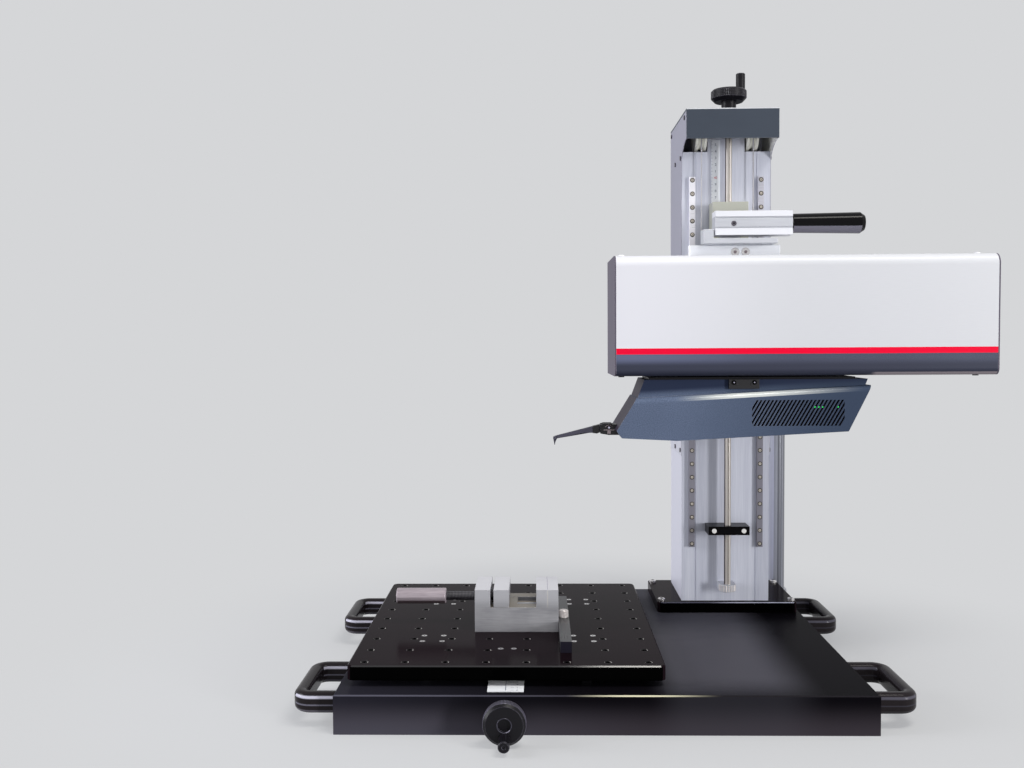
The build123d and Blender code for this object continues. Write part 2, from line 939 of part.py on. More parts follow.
with BuildPart() as edge_screws:
    for x in (unit_left + edge_screw_inset, unit_right - right_screw_inset):
        for z in (unit_top, unit_bottom - edge_screw_height):
            bar_z(x, edge_screw_y, z, edge_screw_diameter / 2, edge_screw_height)
save(edge_screws, "edge_screws")

# Probe slide hanging in the slot of the drive unit
slide_floor = unit_bottom - slide_plate_drop - slide_plate_thickness
slide_middle = slide_plate_left + slide_plate_length / 2
with BuildPart() as probe_slide:
    rib = slide_plate_length * slide_rib_share
    block(
        slide_middle, guide_y, unit_bottom + guide_neck_height + slide_gap / 2, rib,
        guide_head - 2 * slide_gap, guide_head_height - slide_gap, align=(C, C, LO),
    )
    block(
        slide_middle, guide_y, unit_bottom - slide_plate_drop, rib, guide_neck - 2 * slide_gap,
        guide_neck_height + slide_plate_drop + 1, align=(C, C, LO),
    )
    block(
        slide_middle, guide_y, slide_floor, slide_plate_length, slide_plate_depth,
        slide_plate_thickness, align=(C, C, LO),
    )
save(probe_slide, "probe_slide")

# Probe housing, drawn level and turned nose down
tilt = radians(probe_tilt)
leaning = Plane(
    origin=(probe_left, probe_front, probe_floor),
    x_dir=(cos(tilt), 0, sin(tilt)),
    z_dir=(0, -1, 0),
)
with BuildPart() as probe_housing:
    with BuildSketch(leaning):
        with BuildLine():
            Polyline(
                probe_nose,
                (0, 0),
                (probe_nose_run, -probe_belly),
                (probe_base_run, -probe_belly),
                (probe_ridge_right, probe_ridge),
                (probe_ridge_left, probe_ridge),
                close=True,
            )
        make_face()
    extrude(amount=-probe_depth)
    ridge = probe_housing.faces().sort_by(Axis.Z)[-1].edges().sort_by(Axis.Y)[0]
    fillet(ridge, probe_ridge_radius)
    with BuildSketch(Plane(leaning.origin + Vector(0, upper_recess, 0), leaning.x_dir, leaning.z_dir)):
        with BuildLine():
            rise = 0.6 * probe_ridge
            Polyline(
                (upper_left, probe_ridge - 1),
                (upper_left + upper_lean * rise, probe_ridge + rise),
                (upper_right + upper_lean * rise, probe_ridge + rise),
                (upper_right, probe_ridge - 1),
                close=True,
            )
        make_face()
    extrude(amount=-(probe_depth - upper_recess))
    block(
        slide_middle, guide_y, slide_floor, 2 * slide_plate_length, 2 * probe_depth, probe_ridge,
        Mode.SUBTRACT, (C, C, LO),
    )
    with BuildSketch(Plane.XZ.offset(-probe_front)):
        for i in range(vent_count):
            with Locations((vent_left + (i - 0.5) * vent_pitch, vent_bottom + vent_height / 2)):
                Rectangle(vent_width, 2 * vent_height, rotation=vent_lean - 90)
        with Locations(((vent_left + vent_right) / 2, vent_bottom + vent_height / 2)):
            Rectangle(vent_right - vent_left, vent_height, mode=Mode.INTERSECT)
    extrude(amount=-vent_depth, mode=Mode.SUBTRACT)
save(probe_housing, "probe_housing")

with BuildPart() as status_lamps:
    for i in lamp_slots:
        rise = lamp_z - vent_bottom - vent_height / 2
        x = vent_left + (i - 0.5) * vent_pitch + rise / tan(radians(vent_lean))
        bar_y(x, probe_front + vent_depth - lamp_length, lamp_z, lamp_radius, lamp_length)
save(status_lamps, "status_lamps")

lock_front = probe_front + upper_recess - lock_plate_thickness
with BuildPart() as probe_lock_plate:
    block(
        lock_plate_x, lock_front, slide_floor - lock_plate_height, lock_plate_width,
        lock_plate_thickness, lock_plate_height,
    )
    for side in (-1, 1):
        bar_y(
            lock_plate_x + side * lock_screw_dx, lock_front - 0.8,
            slide_floor - lock_plate_height / 2, lock_screw_diameter / 2, 0.8,
        )
save(probe_lock_plate, "probe_lock_plate")

# Stylus fork on the nose, with its pins
stylus_y = probe_front + probe_depth / 2
with BuildPart() as stylus_fork:
    with BuildSketch(Plane.XZ.offset(fork_depth / 2 - stylus_y)):
        with BuildLine():
            Polyline(*[(fork_left + x, fork_bottom + z) for x, z in fork_profile], close=True)
        make_face()
    extrude(amount=-fork_depth)
    add(probe_housing.part, mode=Mode.SUBTRACT)
    block(
        fork_left, stylus_y, fork_bottom, fork_slot_length, fork_slot, fork_height,
        Mode.SUBTRACT, (LO, C, LO),
    )
    bar_y(
        stylus_pin_x, stylus_y - fork_depth / 2 - pin_overhang, stylus_pin_z,
        stylus_pin_diameter / 2, fork_depth + 2 * pin_overhang,
    )
    bar_y(
        stylus_pin_x, stylus_y - fork_depth / 2 - pin_overhang, stylus_pin_z - 7,
        stylus_pin_diameter / 2, pin_overhang,
    )
save(stylus_fork, "stylus_fork")

# Stylus arm turning on the pin, and the tip below its end
arm_run = stylus_pin_x - arm_end_x
arm_drop = stylus_pin_z - arm_end_z
arm_length = (arm_run**2 + arm_drop**2) ** 0.5
arm_heading = (-arm_run, 0, -arm_drop)
holder_bottom = arm_end_z - arm_end_radius - tip_holder_drop
with BuildPart() as stylus_arm:
    with BuildSketch(Plane(
        origin=(stylus_pin_x, stylus_y, stylus_pin_z), x_dir=(0, 1, 0), z_dir=arm_heading,
    )):
        Circle(arm_root_radius)
    with BuildSketch(Plane(
        origin=(arm_end_x, stylus_y, arm_end_z), x_dir=(0, 1, 0), z_dir=arm_heading,
    )):
        Circle(arm_end_radius)
    loft()
    bar_y(stylus_pin_x, stylus_y - eye_thickness / 2, stylus_pin_z, eye_radius, eye_thickness)
    bar_z(arm_end_x, stylus_y, holder_bottom, arm_end_radius, arm_end_z - holder_bottom)
    bar_y(
        stylus_pin_x, stylus_y - fork_depth, stylus_pin_z, stylus_pin_diameter / 2 + running_play,
        2 * fork_depth, Mode.SUBTRACT,
    )
save(stylus_arm, "stylus_arm")

with BuildPart() as stylus_tip:
    with Locations((arm_end_x, stylus_y, holder_bottom - tip_length)):
        Cone(tip_radius, arm_end_radius - tip_step, tip_length, align=(C, C, LO))
save(stylus_tip, "stylus_tip")

# Hole table with its guide blocks, nut and flush screws
block_spots = [
    (table_x + i * table_block_dx, table_y + j * table_block_dy) for i in (-1, 1) for j in (-1, 1)
]
screw_spots = [
    (x + i * block_screw_pitch / 2, y + j * block_screw_pitch / 2)
    for x, y in block_spots for i in (-1, 1) for j in (-1, 1)
]
screw_spots += [(table_x + i * nut_screw_pitch / 2, nut_y) for i in (-1, 1)]
with BuildPart() as hole_table:
    block(
        table_x, table_y, table_bottom, table_width, table_depth, table_thickness, align=(C, C, LO),
    )
    fillet(hole_table.edges().filter_by(Axis.Z), table_corner)
    chamfer(hole_table.faces().sort_by(Axis.Z)[-1].edges(), table_edge)
    with BuildSketch(Plane.XY.offset(table_top)):
        with Locations((table_x, table_y)):
            with GridLocations(hole_pitch, hole_pitch, hole_columns, hole_rows):
                Circle(hole_diameter / 2)
    extrude(amount=-table_thickness, mode=Mode.SUBTRACT)
    with BuildSketch(Plane.XY.offset(table_top)):
        with Locations(*screw_spots):
            Circle(flush_screw_diameter / 2 + flush_screw_play)
    extrude(amount=-flush_screw_height, mode=Mode.SUBTRACT)
save(hole_table, "hole_table")

with BuildPart() as table_screws:
    for x, y in screw_spots:
        bar_z(
            x, y, table_top - flush_screw_height, flush_screw_diameter / 2,
            flush_screw_height - flush_screw_play,
        )
save(table_screws, "table_screws")

with BuildPart() as table_rails:
    for side in (-1, 1):
        block(
            table_x + side * table_block_dx, table_y, base_height, table_rail_width,
            table_rail_length, table_rail_height, align=(C, C, LO),
        )
save(table_rails, "table_rails")

with BuildPart() as table_blocks:
    for x, y in block_spots:
        block(
            x, y, base_height + table_block_gap, table_block_width, table_block_length,
            table_gap - table_block_gap, align=(C, C, LO),
        )
        block(
            x, y, base_height, table_rail_width + 2 * slide_play, table_block_length,
            table_rail_height + slide_play, Mode.SUBTRACT, (C, C, LO),
        )
    block(
        table_x, nut_y, channel_floor + 4, nut_width, nut_length, table_bottom - channel_floor - 4,
        align=(C, C, LO),
    )
    bar_y(
        table_x, nut_y - nut_length, spindle_z, spindle_diameter / 2 + running_play,
        2 * nut_length, Mode.SUBTRACT,
    )
save(table_blocks, "table_blocks")

# Vice: slotted body with a guide bar, jaw with its tongue, screw and handle
vice_y = vice_front + vice_depth / 2
pocket_left = vice_left + left_pillar
pocket_right = vice_left + vice_width - right_pillar
with BuildPart() as vice_body:
    block(
        vice_left, vice_front, table_top, vice_width, vice_depth, vice_height, align=(LO, LO, LO),
    )
    block(
        pocket_left, vice_front, table_top + vice_floor, pocket_right - pocket_left, vice_depth,
        vice_height, Mode.SUBTRACT, (LO, LO, LO),
    )
    bar_x(
        vice_left, vice_y, vice_screw_z, vice_screw_diameter / 2 + running_play, left_pillar,
        Mode.SUBTRACT,
    )
    slot_floor = table_top + vice_floor - slot_depth
    block(
        pocket_left, vice_y, slot_floor, pocket_right - pocket_left, slot_width, slot_depth,
        Mode.SUBTRACT, (LO, C, LO),
    )
    bar_x(pocket_left, vice_y, guide_bar_z, guide_bar_diameter / 2, pocket_right - pocket_left)
    block(
        pocket_right, vice_front, table_top + vice_floor, fixed_jaw_thickness, vice_depth,
        vice_height - vice_floor, align=(HI, LO, LO),
    )
save(vice_body, "vice_body")

jaw_left = pocket_left + jaw_gap_left
with BuildPart() as vice_jaw:
    block(
        jaw_left, vice_front, table_top + vice_floor + slide_play, jaw_thickness, vice_depth,
        vice_height - vice_floor - slide_play, align=(LO, LO, LO),
    )
    block(
        jaw_left, vice_y, slot_floor + slide_play, jaw_thickness, slot_width - 2 * slide_play,
        slot_depth, align=(LO, C, LO),
    )
    # The tongue reaches out under the fixed jaw when the vice closes, so its top lies lower there
    block(
        jaw_left, vice_y, slot_floor + slide_play, jaw_thickness + tongue_reach,
        slot_width - 2 * slide_play, slot_depth - slide_play - tongue_drop, align=(LO, C, LO),
    )
    bar_x(
        jaw_left - 1, vice_y, guide_bar_z, guide_bar_diameter / 2 + running_play,
        jaw_thickness + tongue_reach + 2, Mode.SUBTRACT,
    )
    bar_x(
        jaw_left - 1, vice_y, vice_screw_z, vice_screw_diameter / 2 + running_play,
        jaw_thickness / 2 + 1, Mode.SUBTRACT,
    )
save(vice_jaw, "vice_jaw")

with BuildPart() as vice_screw:
    bar_x(
        vice_left - vice_screw_out, vice_y, vice_screw_z, vice_screw_diameter / 2,
        vice_screw_out + left_pillar + jaw_gap_left + jaw_thickness / 2 - slide_play,
    )
save(vice_screw, "vice_screw")

with BuildPart() as vice_handle:
    bar_x(
        vice_left - vice_screw_out - vice_handle_length, vice_y, vice_screw_z,
        vice_handle_diameter / 2, vice_handle_length,
    )
    chamfer(vice_handle.edges().filter_by(GeomType.CIRCLE), 1.2)
save(vice_handle, "vice_handle")

# Stop rail with its thumbscrew
stop_rail_x = stop_rail_left + stop_rail_width / 2
stop_rail_top = table_top + stop_rail_height
with BuildPart() as stop_rail:
    block(
        stop_rail_x, stop_rail_front, table_top, stop_rail_width, stop_rail_length, stop_rail_height,
    )
    bar_z(
        stop_rail_x, thumb_y, stop_rail_top - thumb_stem_length - 1,
        thumb_stem_diameter / 2 + running_play, thumb_stem_length + 2, Mode.SUBTRACT,
    )
save(stop_rail, "stop_rail")

with BuildPart() as stop_thumbscrew:
    bar_z(stop_rail_x, thumb_y, stop_rail_top + slide_play, thumb_diameter / 2, thumb_height)
    chamfer(stop_thumbscrew.faces().sort_by(Axis.Z)[-1].edges(), 0.8)
    bar_z(
        stop_rail_x, thumb_y, stop_rail_top - thumb_stem_length, thumb_stem_diameter / 2,
        thumb_stem_length + slide_play,
    )
save(stop_thumbscrew, "stop_thumbscrew")

# Feed spindle with its handwheel and crank grip
wheel_back = feed_wheel_front + feed_wheel_rim
with BuildPart() as feed_screw:
    bar_y(
        table_x, wheel_back, spindle_z, spindle_diameter / 2,
        channel_back + spindle_seat - 4 - wheel_back,
    )
save(feed_screw, "feed_screw")

grip_z = spindle_z - feed_grip_orbit
with BuildPart() as feed_handwheel:
    bar_y(table_x, feed_wheel_front, spindle_z, feed_wheel_diameter / 2, feed_wheel_rim)
    front_rim = feed_handwheel.faces().sort_by(Axis.Y)[0].edges()
    chamfer(front_rim, (feed_wheel_diameter - feed_wheel_face) / 2)
    bar_y(table_x, feed_wheel_front, spindle_z, 8, 4, Mode.SUBTRACT)
    bar_y(
        table_x, feed_wheel_front - crank_pin_length, grip_z, crank_pin_diameter / 2,
        crank_pin_length + 1,
    )
    bar_y(table_x, wheel_back, spindle_z, feed_hub_diameter / 2, base_front - hub_gap - wheel_back)
    bar_y(table_x, wheel_back, spindle_z, spindle_diameter / 2, base_front - wheel_back, Mode.SUBTRACT)
save(feed_handwheel, "feed_handwheel")

grip_back = feed_wheel_front - slide_play
with BuildPart() as feed_crank_grip:
    bar_y(
        table_x, grip_back - crank_grip_length, grip_z, crank_grip_diameter / 2, crank_grip_length,
    )
    bar_y(
        table_x, feed_wheel_front - crank_pin_length - slide_play, grip_z,
        crank_pin_diameter / 2 + running_play, crank_pin_length + 2 * slide_play, Mode.SUBTRACT,
    )
    chamfer(feed_crank_grip.faces().sort_by(Axis.Y)[0].edges(), 1)
    bar_y(
        table_x, grip_back - crank_grip_length - dimple_depth, grip_z, dimple_diameter / 2,
        2 * dimple_depth, Mode.SUBTRACT,
    )
save(feed_crank_grip, "feed_crank_grip")
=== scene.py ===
# %% [markdown]
# A surface roughness tester, dressed in Blender
#
# The solids of the instrument come from its CAD model, already in place and in metres. This
# script gives every one of them a finish, adds the small repeated things that CAD leaves out,
# such as rail screws, scale marks and knurls, and sets up the light and the camera.

# %% Load the solids
import math

import bmesh
import bpy
from mathutils import Matrix, Vector


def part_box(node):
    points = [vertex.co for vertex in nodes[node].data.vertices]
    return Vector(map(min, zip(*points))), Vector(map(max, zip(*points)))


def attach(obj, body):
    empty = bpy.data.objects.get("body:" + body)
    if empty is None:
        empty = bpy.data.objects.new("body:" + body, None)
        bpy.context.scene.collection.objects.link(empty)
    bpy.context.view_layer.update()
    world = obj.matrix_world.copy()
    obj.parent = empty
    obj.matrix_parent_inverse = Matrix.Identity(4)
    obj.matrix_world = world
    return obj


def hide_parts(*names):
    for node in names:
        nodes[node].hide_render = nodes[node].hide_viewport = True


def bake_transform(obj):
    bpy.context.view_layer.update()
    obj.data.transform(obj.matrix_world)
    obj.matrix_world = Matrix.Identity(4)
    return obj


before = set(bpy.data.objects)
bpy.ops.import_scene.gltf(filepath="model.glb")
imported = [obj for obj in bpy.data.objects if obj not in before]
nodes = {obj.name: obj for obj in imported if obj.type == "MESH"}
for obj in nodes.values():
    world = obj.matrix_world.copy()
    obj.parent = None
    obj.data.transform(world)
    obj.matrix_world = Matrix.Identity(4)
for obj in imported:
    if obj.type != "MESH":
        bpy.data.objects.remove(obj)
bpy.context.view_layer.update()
mm = 0.001

# %% [markdown]
# Colours are easiest to read off a screen as red, green and blue from 0 to 255. The shader wants
# linear light, so one small function turns the first into the second. Every tone below is
# written the way a painter would mix it, and the light level keeps it close to that.


# %% Colour helper
def shade(red, green, blue):
    """A screen colour from 0 to 255, as the linear colour that a shader needs."""
    linear = []
    for value in (red / 255, green / 255, blue / 255):
        linear.append(value / 12.92 if value <= 0.04045 else ((value + 0.055) / 1.055) ** 2.4)
    return (*linear, 1.0)


print("a grey of 128 is", round(shade(128, 128, 128)[0], 3), "in linear light")

# %% [markdown]
# Materials and Geometry Nodes are both trees of nodes. A node is added, its options are chosen,
# and each of its inputs gets a value or a link from another node. One helper does all three, so
# that a tree reads like a list of its nodes. The others are the steps that come back most often.


# %% Helpers for node trees
def fill(tree, node, inputs):
    """Give a node's inputs their values, or link the sockets that feed them."""
    for name, value in inputs.items():
        if isinstance(value, bpy.types.NodeSocket):
            tree.links.new(value, node.inputs[name])
        else:
            node.inputs[name].default_value = value


def add(tree, kind, inputs=None, **options):
    """Add a node. Its inputs go by name, or by number where two have the same name."""
    node = tree.nodes.new(kind)
    for name, value in options.items():
        setattr(node, name, value)
    fill(tree, node, inputs or {})
    return node


def new_group(name, inputs, outputs, family="Shader"):
    """A group with sockets of (kind, name, default), and the sockets that its nodes can use."""
    tree = bpy.data.node_groups.new(name, family + "NodeTree")
    for kind, label, *default in inputs:
        socket = tree.interface.new_socket(label, in_out="INPUT", socket_type="NodeSocket" + kind)
        if default:
            socket.default_value = default[0]
    for kind, label in outputs:
        tree.interface.new_socket(label, in_out="OUTPUT", socket_type="NodeSocket" + kind)
    return tree, tree.nodes.new("NodeGroupInput").outputs


def mix_colour(tree, factor, first, second):
    """Mix two colours by a factor."""
    mix = add(tree, "ShaderNodeMix", {0: factor, 6: first, 7: second}, data_type="RGBA")
    return mix.outputs[2]


def mix_number(tree, factor, first, second):
    """Mix two numbers by a factor."""
    return add(tree, "ShaderNodeMix", {0: factor, 2: first, 3: second}).outputs[0]


def calculate(tree, operation, *values):
    """One step of arithmetic."""
    return add(tree, "ShaderNodeMath", dict(enumerate(values)), operation=operation).outputs[0]


def dot_product(tree, first, second):
    """How far one vector reaches along another."""
    dot = add(tree, "ShaderNodeVectorMath", {0: first, 1: second}, operation="DOT_PRODUCT")
    return dot.outputs["Value"]


def ramp(tree, value, low, high, **options):
    """A number that runs from 0 at the low end of a value to 1 at its high end."""
    ends = {"Value": value, "From Min": low, "From Max": high}
    return add(tree, "ShaderNodeMapRange", ends, **options).outputs[0]


def own_place(tree):
    """Where a point lies on its own object, in metres."""
    return add(tree, "ShaderNodeTexCoord").outputs["Object"]


# %% [markdown]
# Real surfaces are never one flat colour. Anodised plates are a little cloudy, ground steel has
# fine lines along the way it was ground, and paint has a slight orange peel. All of them can be
# had from one node group: noise stretched along the axes by a vector, which moves the colour
# between two tones, the roughness between two levels, and gives a height for the bump. The group
# is built once and each material sets its own numbers.


# %% The grain group
def build_grain():
    """Stretched noise for colour, roughness and height, and slow clouds over it."""
    tree, given = new_group(
        "surface grain",
        [
            ("Color", "Dark tone", (0.1, 0.1, 0.1, 1)),
            ("Color", "Light tone", (0.2, 0.2, 0.2, 1)),
            ("Float", "Smooth", 0.3),
            ("Float", "Rough", 0.4),
            ("Vector", "Grain", (800.0, 800.0, 800.0)),
            ("Vector", "Clouds", (12.0, 12.0, 12.0)),
            ("Float", "Cloud share", 0.5),
        ],
        [("Color", "Colour"), ("Float", "Roughness"), ("Float", "Height")],
    )
    place = own_place(tree)
    fields = []
    for name, detail in (("Grain", 2.0), ("Clouds", 3.0)):
        stretch = add(tree, "ShaderNodeVectorMath", {0: place, 1: given[name]}, operation="MULTIPLY")
        noise = add(tree, "ShaderNodeTexNoise", {
            "Vector": stretch.outputs[0], "Scale": 1.0, "Detail": detail,
        })
        fields.append(ramp(tree, noise.outputs[0], 0.3, 0.7))
    both = mix_number(tree, given["Cloud share"], *fields)
    add(tree, "NodeGroupOutput", {
        "Colour": mix_colour(tree, both, given["Dark tone"], given["Light tone"]),
        "Roughness": mix_number(tree, both, given["Smooth"], given["Rough"]),
        "Height": fields[0],
    })
    return tree


grain_group = build_grain()
print(grain_group.name, "has", len(grain_group.nodes), "nodes")

# %% [markdown]
# Edges of machined and painted pieces catch a thin line of light, because nobody can make a
# truly sharp edge. The Bevel node gives the normal of a rounded edge without more faces. Where
# it differs from the flat face's own normal there is an edge, and that difference is the mask
# for a lighter tone, which is partly wear and partly a painted highlight.


# %% The edge group
def build_edge():
    """A mask that is 1 on edges, and the normal of the edge as if it were rounded."""
    tree, given = new_group(
        "rubbed edge", [("Float", "Strength", 1.0)], [("Float", "Mask"), ("Vector", "Normal")],
    )
    rounded = add(tree, "ShaderNodeBevel", {"Radius": 0.7 * mm}, samples=4).outputs[0]
    flat = add(tree, "ShaderNodeNewGeometry").outputs["Normal"]
    bend = ramp(tree, dot_product(tree, rounded, flat), 0.995, 0.86)
    mask = calculate(tree, "MULTIPLY", bend, given["Strength"])
    add(tree, "NodeGroupOutput", {"Mask": mask, "Normal": rounded})
    return tree


edge_group = build_edge()
print(edge_group.name, "has", len(edge_group.nodes), "nodes")

# %% [markdown]
# Two more masks are needed in several places. The first is 1 on faces that point a certain way,
# such as the 45 degree chamfers of the plates. The second runs from 0 to 1 along a direction,
# for tones that change over the length of a piece. A place for a tone is one of these groups
# with its numbers, so a finish can be told where it changes in a few words.


# %% The facing and the along group
def build_facing():
    """A mask that is 1 where the face's normal has a given part along a direction."""
    tree, given = new_group(
        "facing mask",
        [("Vector", "Direction", (0.0, 0.0, 1.0)), ("Float", "Middle", 1.0), ("Float", "Width", 0.5)],
        [("Float", "Mask")],
    )
    normal = add(tree, "ShaderNodeNewGeometry").outputs["True Normal"]
    part = dot_product(tree, normal, given["Direction"])
    mask = calculate(tree, "COMPARE", part, given["Middle"], given["Width"])
    add(tree, "NodeGroupOutput", {"Mask": mask})
    return tree


def build_along():
    """A mask that runs from 0 at the start to 1 at the end along a direction, in metres."""
    tree, given = new_group(
        "along mask",
        [("Vector", "Direction", (0.0, 0.0, 1.0)), ("Float", "Start", 0.0), ("Float", "End", 1.0)],
        [("Float", "Mask")],
    )
    distance = dot_product(tree, own_place(tree), given["Direction"])
    ends = given["Start"], given["End"]
    add(tree, "NodeGroupOutput", {
        "Mask": ramp(tree, distance, *ends, interpolation_type="SMOOTHSTEP"),
    })
    return tree


facing_group = build_facing()
along_group = build_along()
left = (-1.0, 0.0, 0.0)
right = (1.0, 0.0, 0.0)
front = (0.0, -1.0, 0.0)
back = (0.0, 1.0, 0.0)
down = (0.0, 0.0, -1.0)
up = (0.0, 0.0, 1.0)


def facing(direction, width, middle=1.0):
    """The faces whose normal has about this part along a direction."""
    return facing_group, {"Direction": direction, "Middle": middle, "Width": width}


def along(direction, start, end):
    """What lies beyond an end along a direction, with a soft change from the start."""
    return along_group, {"Direction": direction, "Start": start, "End": end}


print("masks:", facing_group.name, "and", along_group.name)

# %% [markdown]
# With these groups a finish is a short list: two tones, two roughness levels, how metallic it
# is, how long and fine its grain is, and how much light its edges catch. The function below
# joins them to a Principled shader. Numbers that are the same all over stay on the shader's own
# sockets, so that they survive an export. A second function mixes another tone over a place.


# %% The function that makes a finish
finishes = {}


def three(value):
    """Three numbers from a tuple, or from one number for all."""
    return value if isinstance(value, tuple) else (value, value, value)


def finish(
    name, dark, light, rough, metal=0.0, grain=800, clouds=12, cloud_share=0.5, bump=0.05,
    edge=0.0, edge_tone=None, specular=0.5,
):
    """Make one material from the groups above, and keep it under its name."""
    material = bpy.data.materials.new(name)
    material.use_nodes = True
    tree = material.node_tree
    texture = add(tree, "ShaderNodeGroup", {
        "Dark tone": shade(*dark), "Light tone": shade(*light), "Smooth": rough[0],
        "Rough": rough[1], "Grain": three(grain), "Clouds": three(clouds),
        "Cloud share": cloud_share,
    }, node_tree=grain_group)
    colour = texture.outputs["Colour"]
    relief = add(tree, "ShaderNodeBump", {
        "Strength": bump, "Distance": 0.1 * mm, "Height": texture.outputs["Height"],
    })
    # The lighter edge tone is worn metal and a painted highlight at once.
    if edge:
        worn_and_lit = add(tree, "ShaderNodeGroup", {"Strength": edge}, node_tree=edge_group)
        colour = mix_colour(tree, worn_and_lit.outputs["Mask"], colour, shade(*(edge_tone or light)))
        fill(tree, relief, {"Normal": worn_and_lit.outputs["Normal"]})
    fill(tree, tree.nodes["Principled BSDF"], {
        "Base Color": colour, "Roughness": texture.outputs["Roughness"],
        "Normal": relief.outputs[0], "Metallic": metal, "Specular IOR Level": specular,
        "Coat Roughness": 0.08,
    })
    finishes[name] = material
    return material


def tinted(name, tone, *places, coated=False):
    """Mix a tone over a finish where all the places meet, and coat it there if asked."""
    tree = finishes[name].node_tree
    shader = tree.nodes["Principled BSDF"]
    mask = None
    for group, values in places:
        where = add(tree, "ShaderNodeGroup", values, node_tree=group).outputs["Mask"]
        mask = where if mask is None else calculate(tree, "MULTIPLY", mask, where)
    paint = shader.inputs["Base Color"].links[0].from_socket
    fill(tree, shader, {"Base Color": mix_colour(tree, mask, paint, shade(*tone))})
    if coated:
        fill(tree, shader, {"Coat Weight": mask})


# %% [markdown]
# The plates are black anodised aluminium. Seen from low down such a plate would mirror the room
# like water, which the anodised layer doesn't do, so its specular level is low. The studio still
# shows in it as soft lighter fields, which are painted reflections here. The thin light line
# along the front chamfers is a painted highlight, and those of the table have a clear coat as well.

# %% Black plates
front_chamfers = facing((0.0, -0.7071, 0.7071), 0.06)
front_faces = facing(front, 0.15)
left_half = along(left, -0.1, 0.3)
finish(
    "base_black", (11, 10, 13), (17, 15, 20), (0.22, 0.32), grain=1500, clouds=(5, 7, 9),
    cloud_share=0.7, bump=0.02, specular=0.005,
)
# Painted reflections: lighter towards the left, towards the bottom of the front and in front of the
# column's foot. The chamfer line is a painted highlight, lighter on the left and warm and bright right of
# the middle.
for tone, places in (
    ((44, 43, 52), [along(left, -0.02, 0.42)]),
    ((60, 55, 61), [along(down, -0.044, 0.0)]),
    ((80, 78, 88), [along(down, -0.044, 0.0), left_half]),
    ((82, 81, 89), [along(back, -0.3, -0.19), along(left, -0.27, -0.2), along(right, 0.05, 0.1)]),
    ((34, 32, 36), [front_chamfers]),
    ((84, 83, 95), [front_chamfers, left_half]),
    ((216, 211, 182), [front_chamfers, along(right, -0.05, 0.03), along(left, -0.14, -0.05)]),
):
    tinted("base_black", tone, *places)
smooth_plate = {"grain": 1500, "clouds": (6, 8, 9), "cloud_share": 0.7, "bump": 0.01, "specular": 0.009}
finish("table_black", (20, 12, 16), (29, 20, 25), (0.12, 0.2), **smooth_plate)
# Painted highlight: a light line along the table's front chamfers, under a clear coat.
tinted("table_black", (36, 35, 36), front_chamfers, coated=True)
finish("foot_black", (22, 14, 18), (31, 22, 27), (0.12, 0.2), **smooth_plate)
# Painted highlight along the foot's front chamfers, brightest towards the right.
tinted("foot_black", (84, 84, 98), front_chamfers)
tinted("foot_black", (180, 182, 200), front_chamfers, along(right, 0.18, 0.23))
# Painted shade: the front faces of the table and the foot are made almost black.
for name in ("table_black", "foot_black"):
    tinted(name, (2, 2, 2), front_faces)
print("finishes so far:", len(finishes))

# %% [markdown]
# The small black pieces differ more than one would think. Blackened steel is matt with worn
# edges, whose lighter tone is also a painted highlight, knurls are grey because their ridges are
# bare, moulded plastic is even, and the lever's grip is polished, with a painted reflection that
# makes its lower side lighter. The stop rail's front is darker, as painted shade. The four carry
# handles are round bars bent to a bow: each shows the studio as three narrow light lines along
# it, brighter on the left, which are painted reflections here, made as bands in height.

# %% Small black pieces
finish(
    "block_black", (3, 3, 4), (5, 4, 6), (0.2, 0.3), grain=1500, bump=0.01, edge=0.3,
    edge_tone=(60, 58, 62), specular=0.06,
)
finish(
    "rail_black", (62, 62, 64), (72, 72, 74), (0.25, 0.35), grain=(1500, 40, 1500), bump=0.02,
    edge=0.5, edge_tone=(140, 140, 140), specular=0.1,
)
# Painted shade: the stop rail's front face is darker.
tinted("rail_black", (30, 28, 38), front_faces)
finish(
    "black_oxide", (12, 11, 14), (20, 19, 23), (0.3, 0.45), grain=900, edge=0.4,
    edge_tone=(84, 82, 92), specular=0.12,
)
finish(
    "wheel_black", (13, 12, 16), (21, 19, 25), (0.32, 0.42), grain=900, bump=0.04, edge=0.9,
    edge_tone=(118, 114, 130), specular=0.2,
)
finish("knurl_black", (92, 88, 104), (122, 118, 136), (0.3, 0.4), grain=900, metal=0.3, bump=0.02)
finish("knurl_dark", (38, 37, 42), (52, 50, 57), (0.3, 0.4), grain=900, metal=0.3, bump=0.02)
finish(
    "black_plastic", (13, 12, 15), (20, 19, 23), (0.35, 0.5), grain=1400, bump=0.1, edge=0.3,
    edge_tone=(70, 68, 76), specular=0.35,
)
finish("grip_gloss", (7, 6, 8), (11, 10, 12), (0.12, 0.16), grain=200, bump=0.0, specular=0.12)
# Painted reflection: the grip is lighter on its lower side.
tinted("grip_gloss", (112, 110, 122), facing((0.0, -0.62, -0.78), 0.14))
finish("handle_plastic", (30, 26, 28), (42, 37, 40), (0.2, 0.26), grain=1200, bump=0.02, specular=0.1)
left_side = along(left, -0.1, 0.1)
outward = facing(front, 0.5)
line_blur = 0.8 * mm
# Painted reflections: three light lines along each handle, brighter on the left handles.
for low, high, tone, left_tone in (
    (0.0370, 0.0402, (84, 82, 92), (206, 204, 220)),
    (0.0285, 0.0300, (56, 54, 62), (122, 120, 134)),
    (0.0150, 0.0230, (52, 50, 52), (112, 108, 116)),
):
    line = (
        along(up, low - line_blur, low + line_blur), along(down, -high - line_blur, -high + line_blur),
        outward,
    )
    tinted("handle_plastic", tone, *line)
    tinted("handle_plastic", left_tone, *line, left_side)
print("finishes so far:", len(finishes))
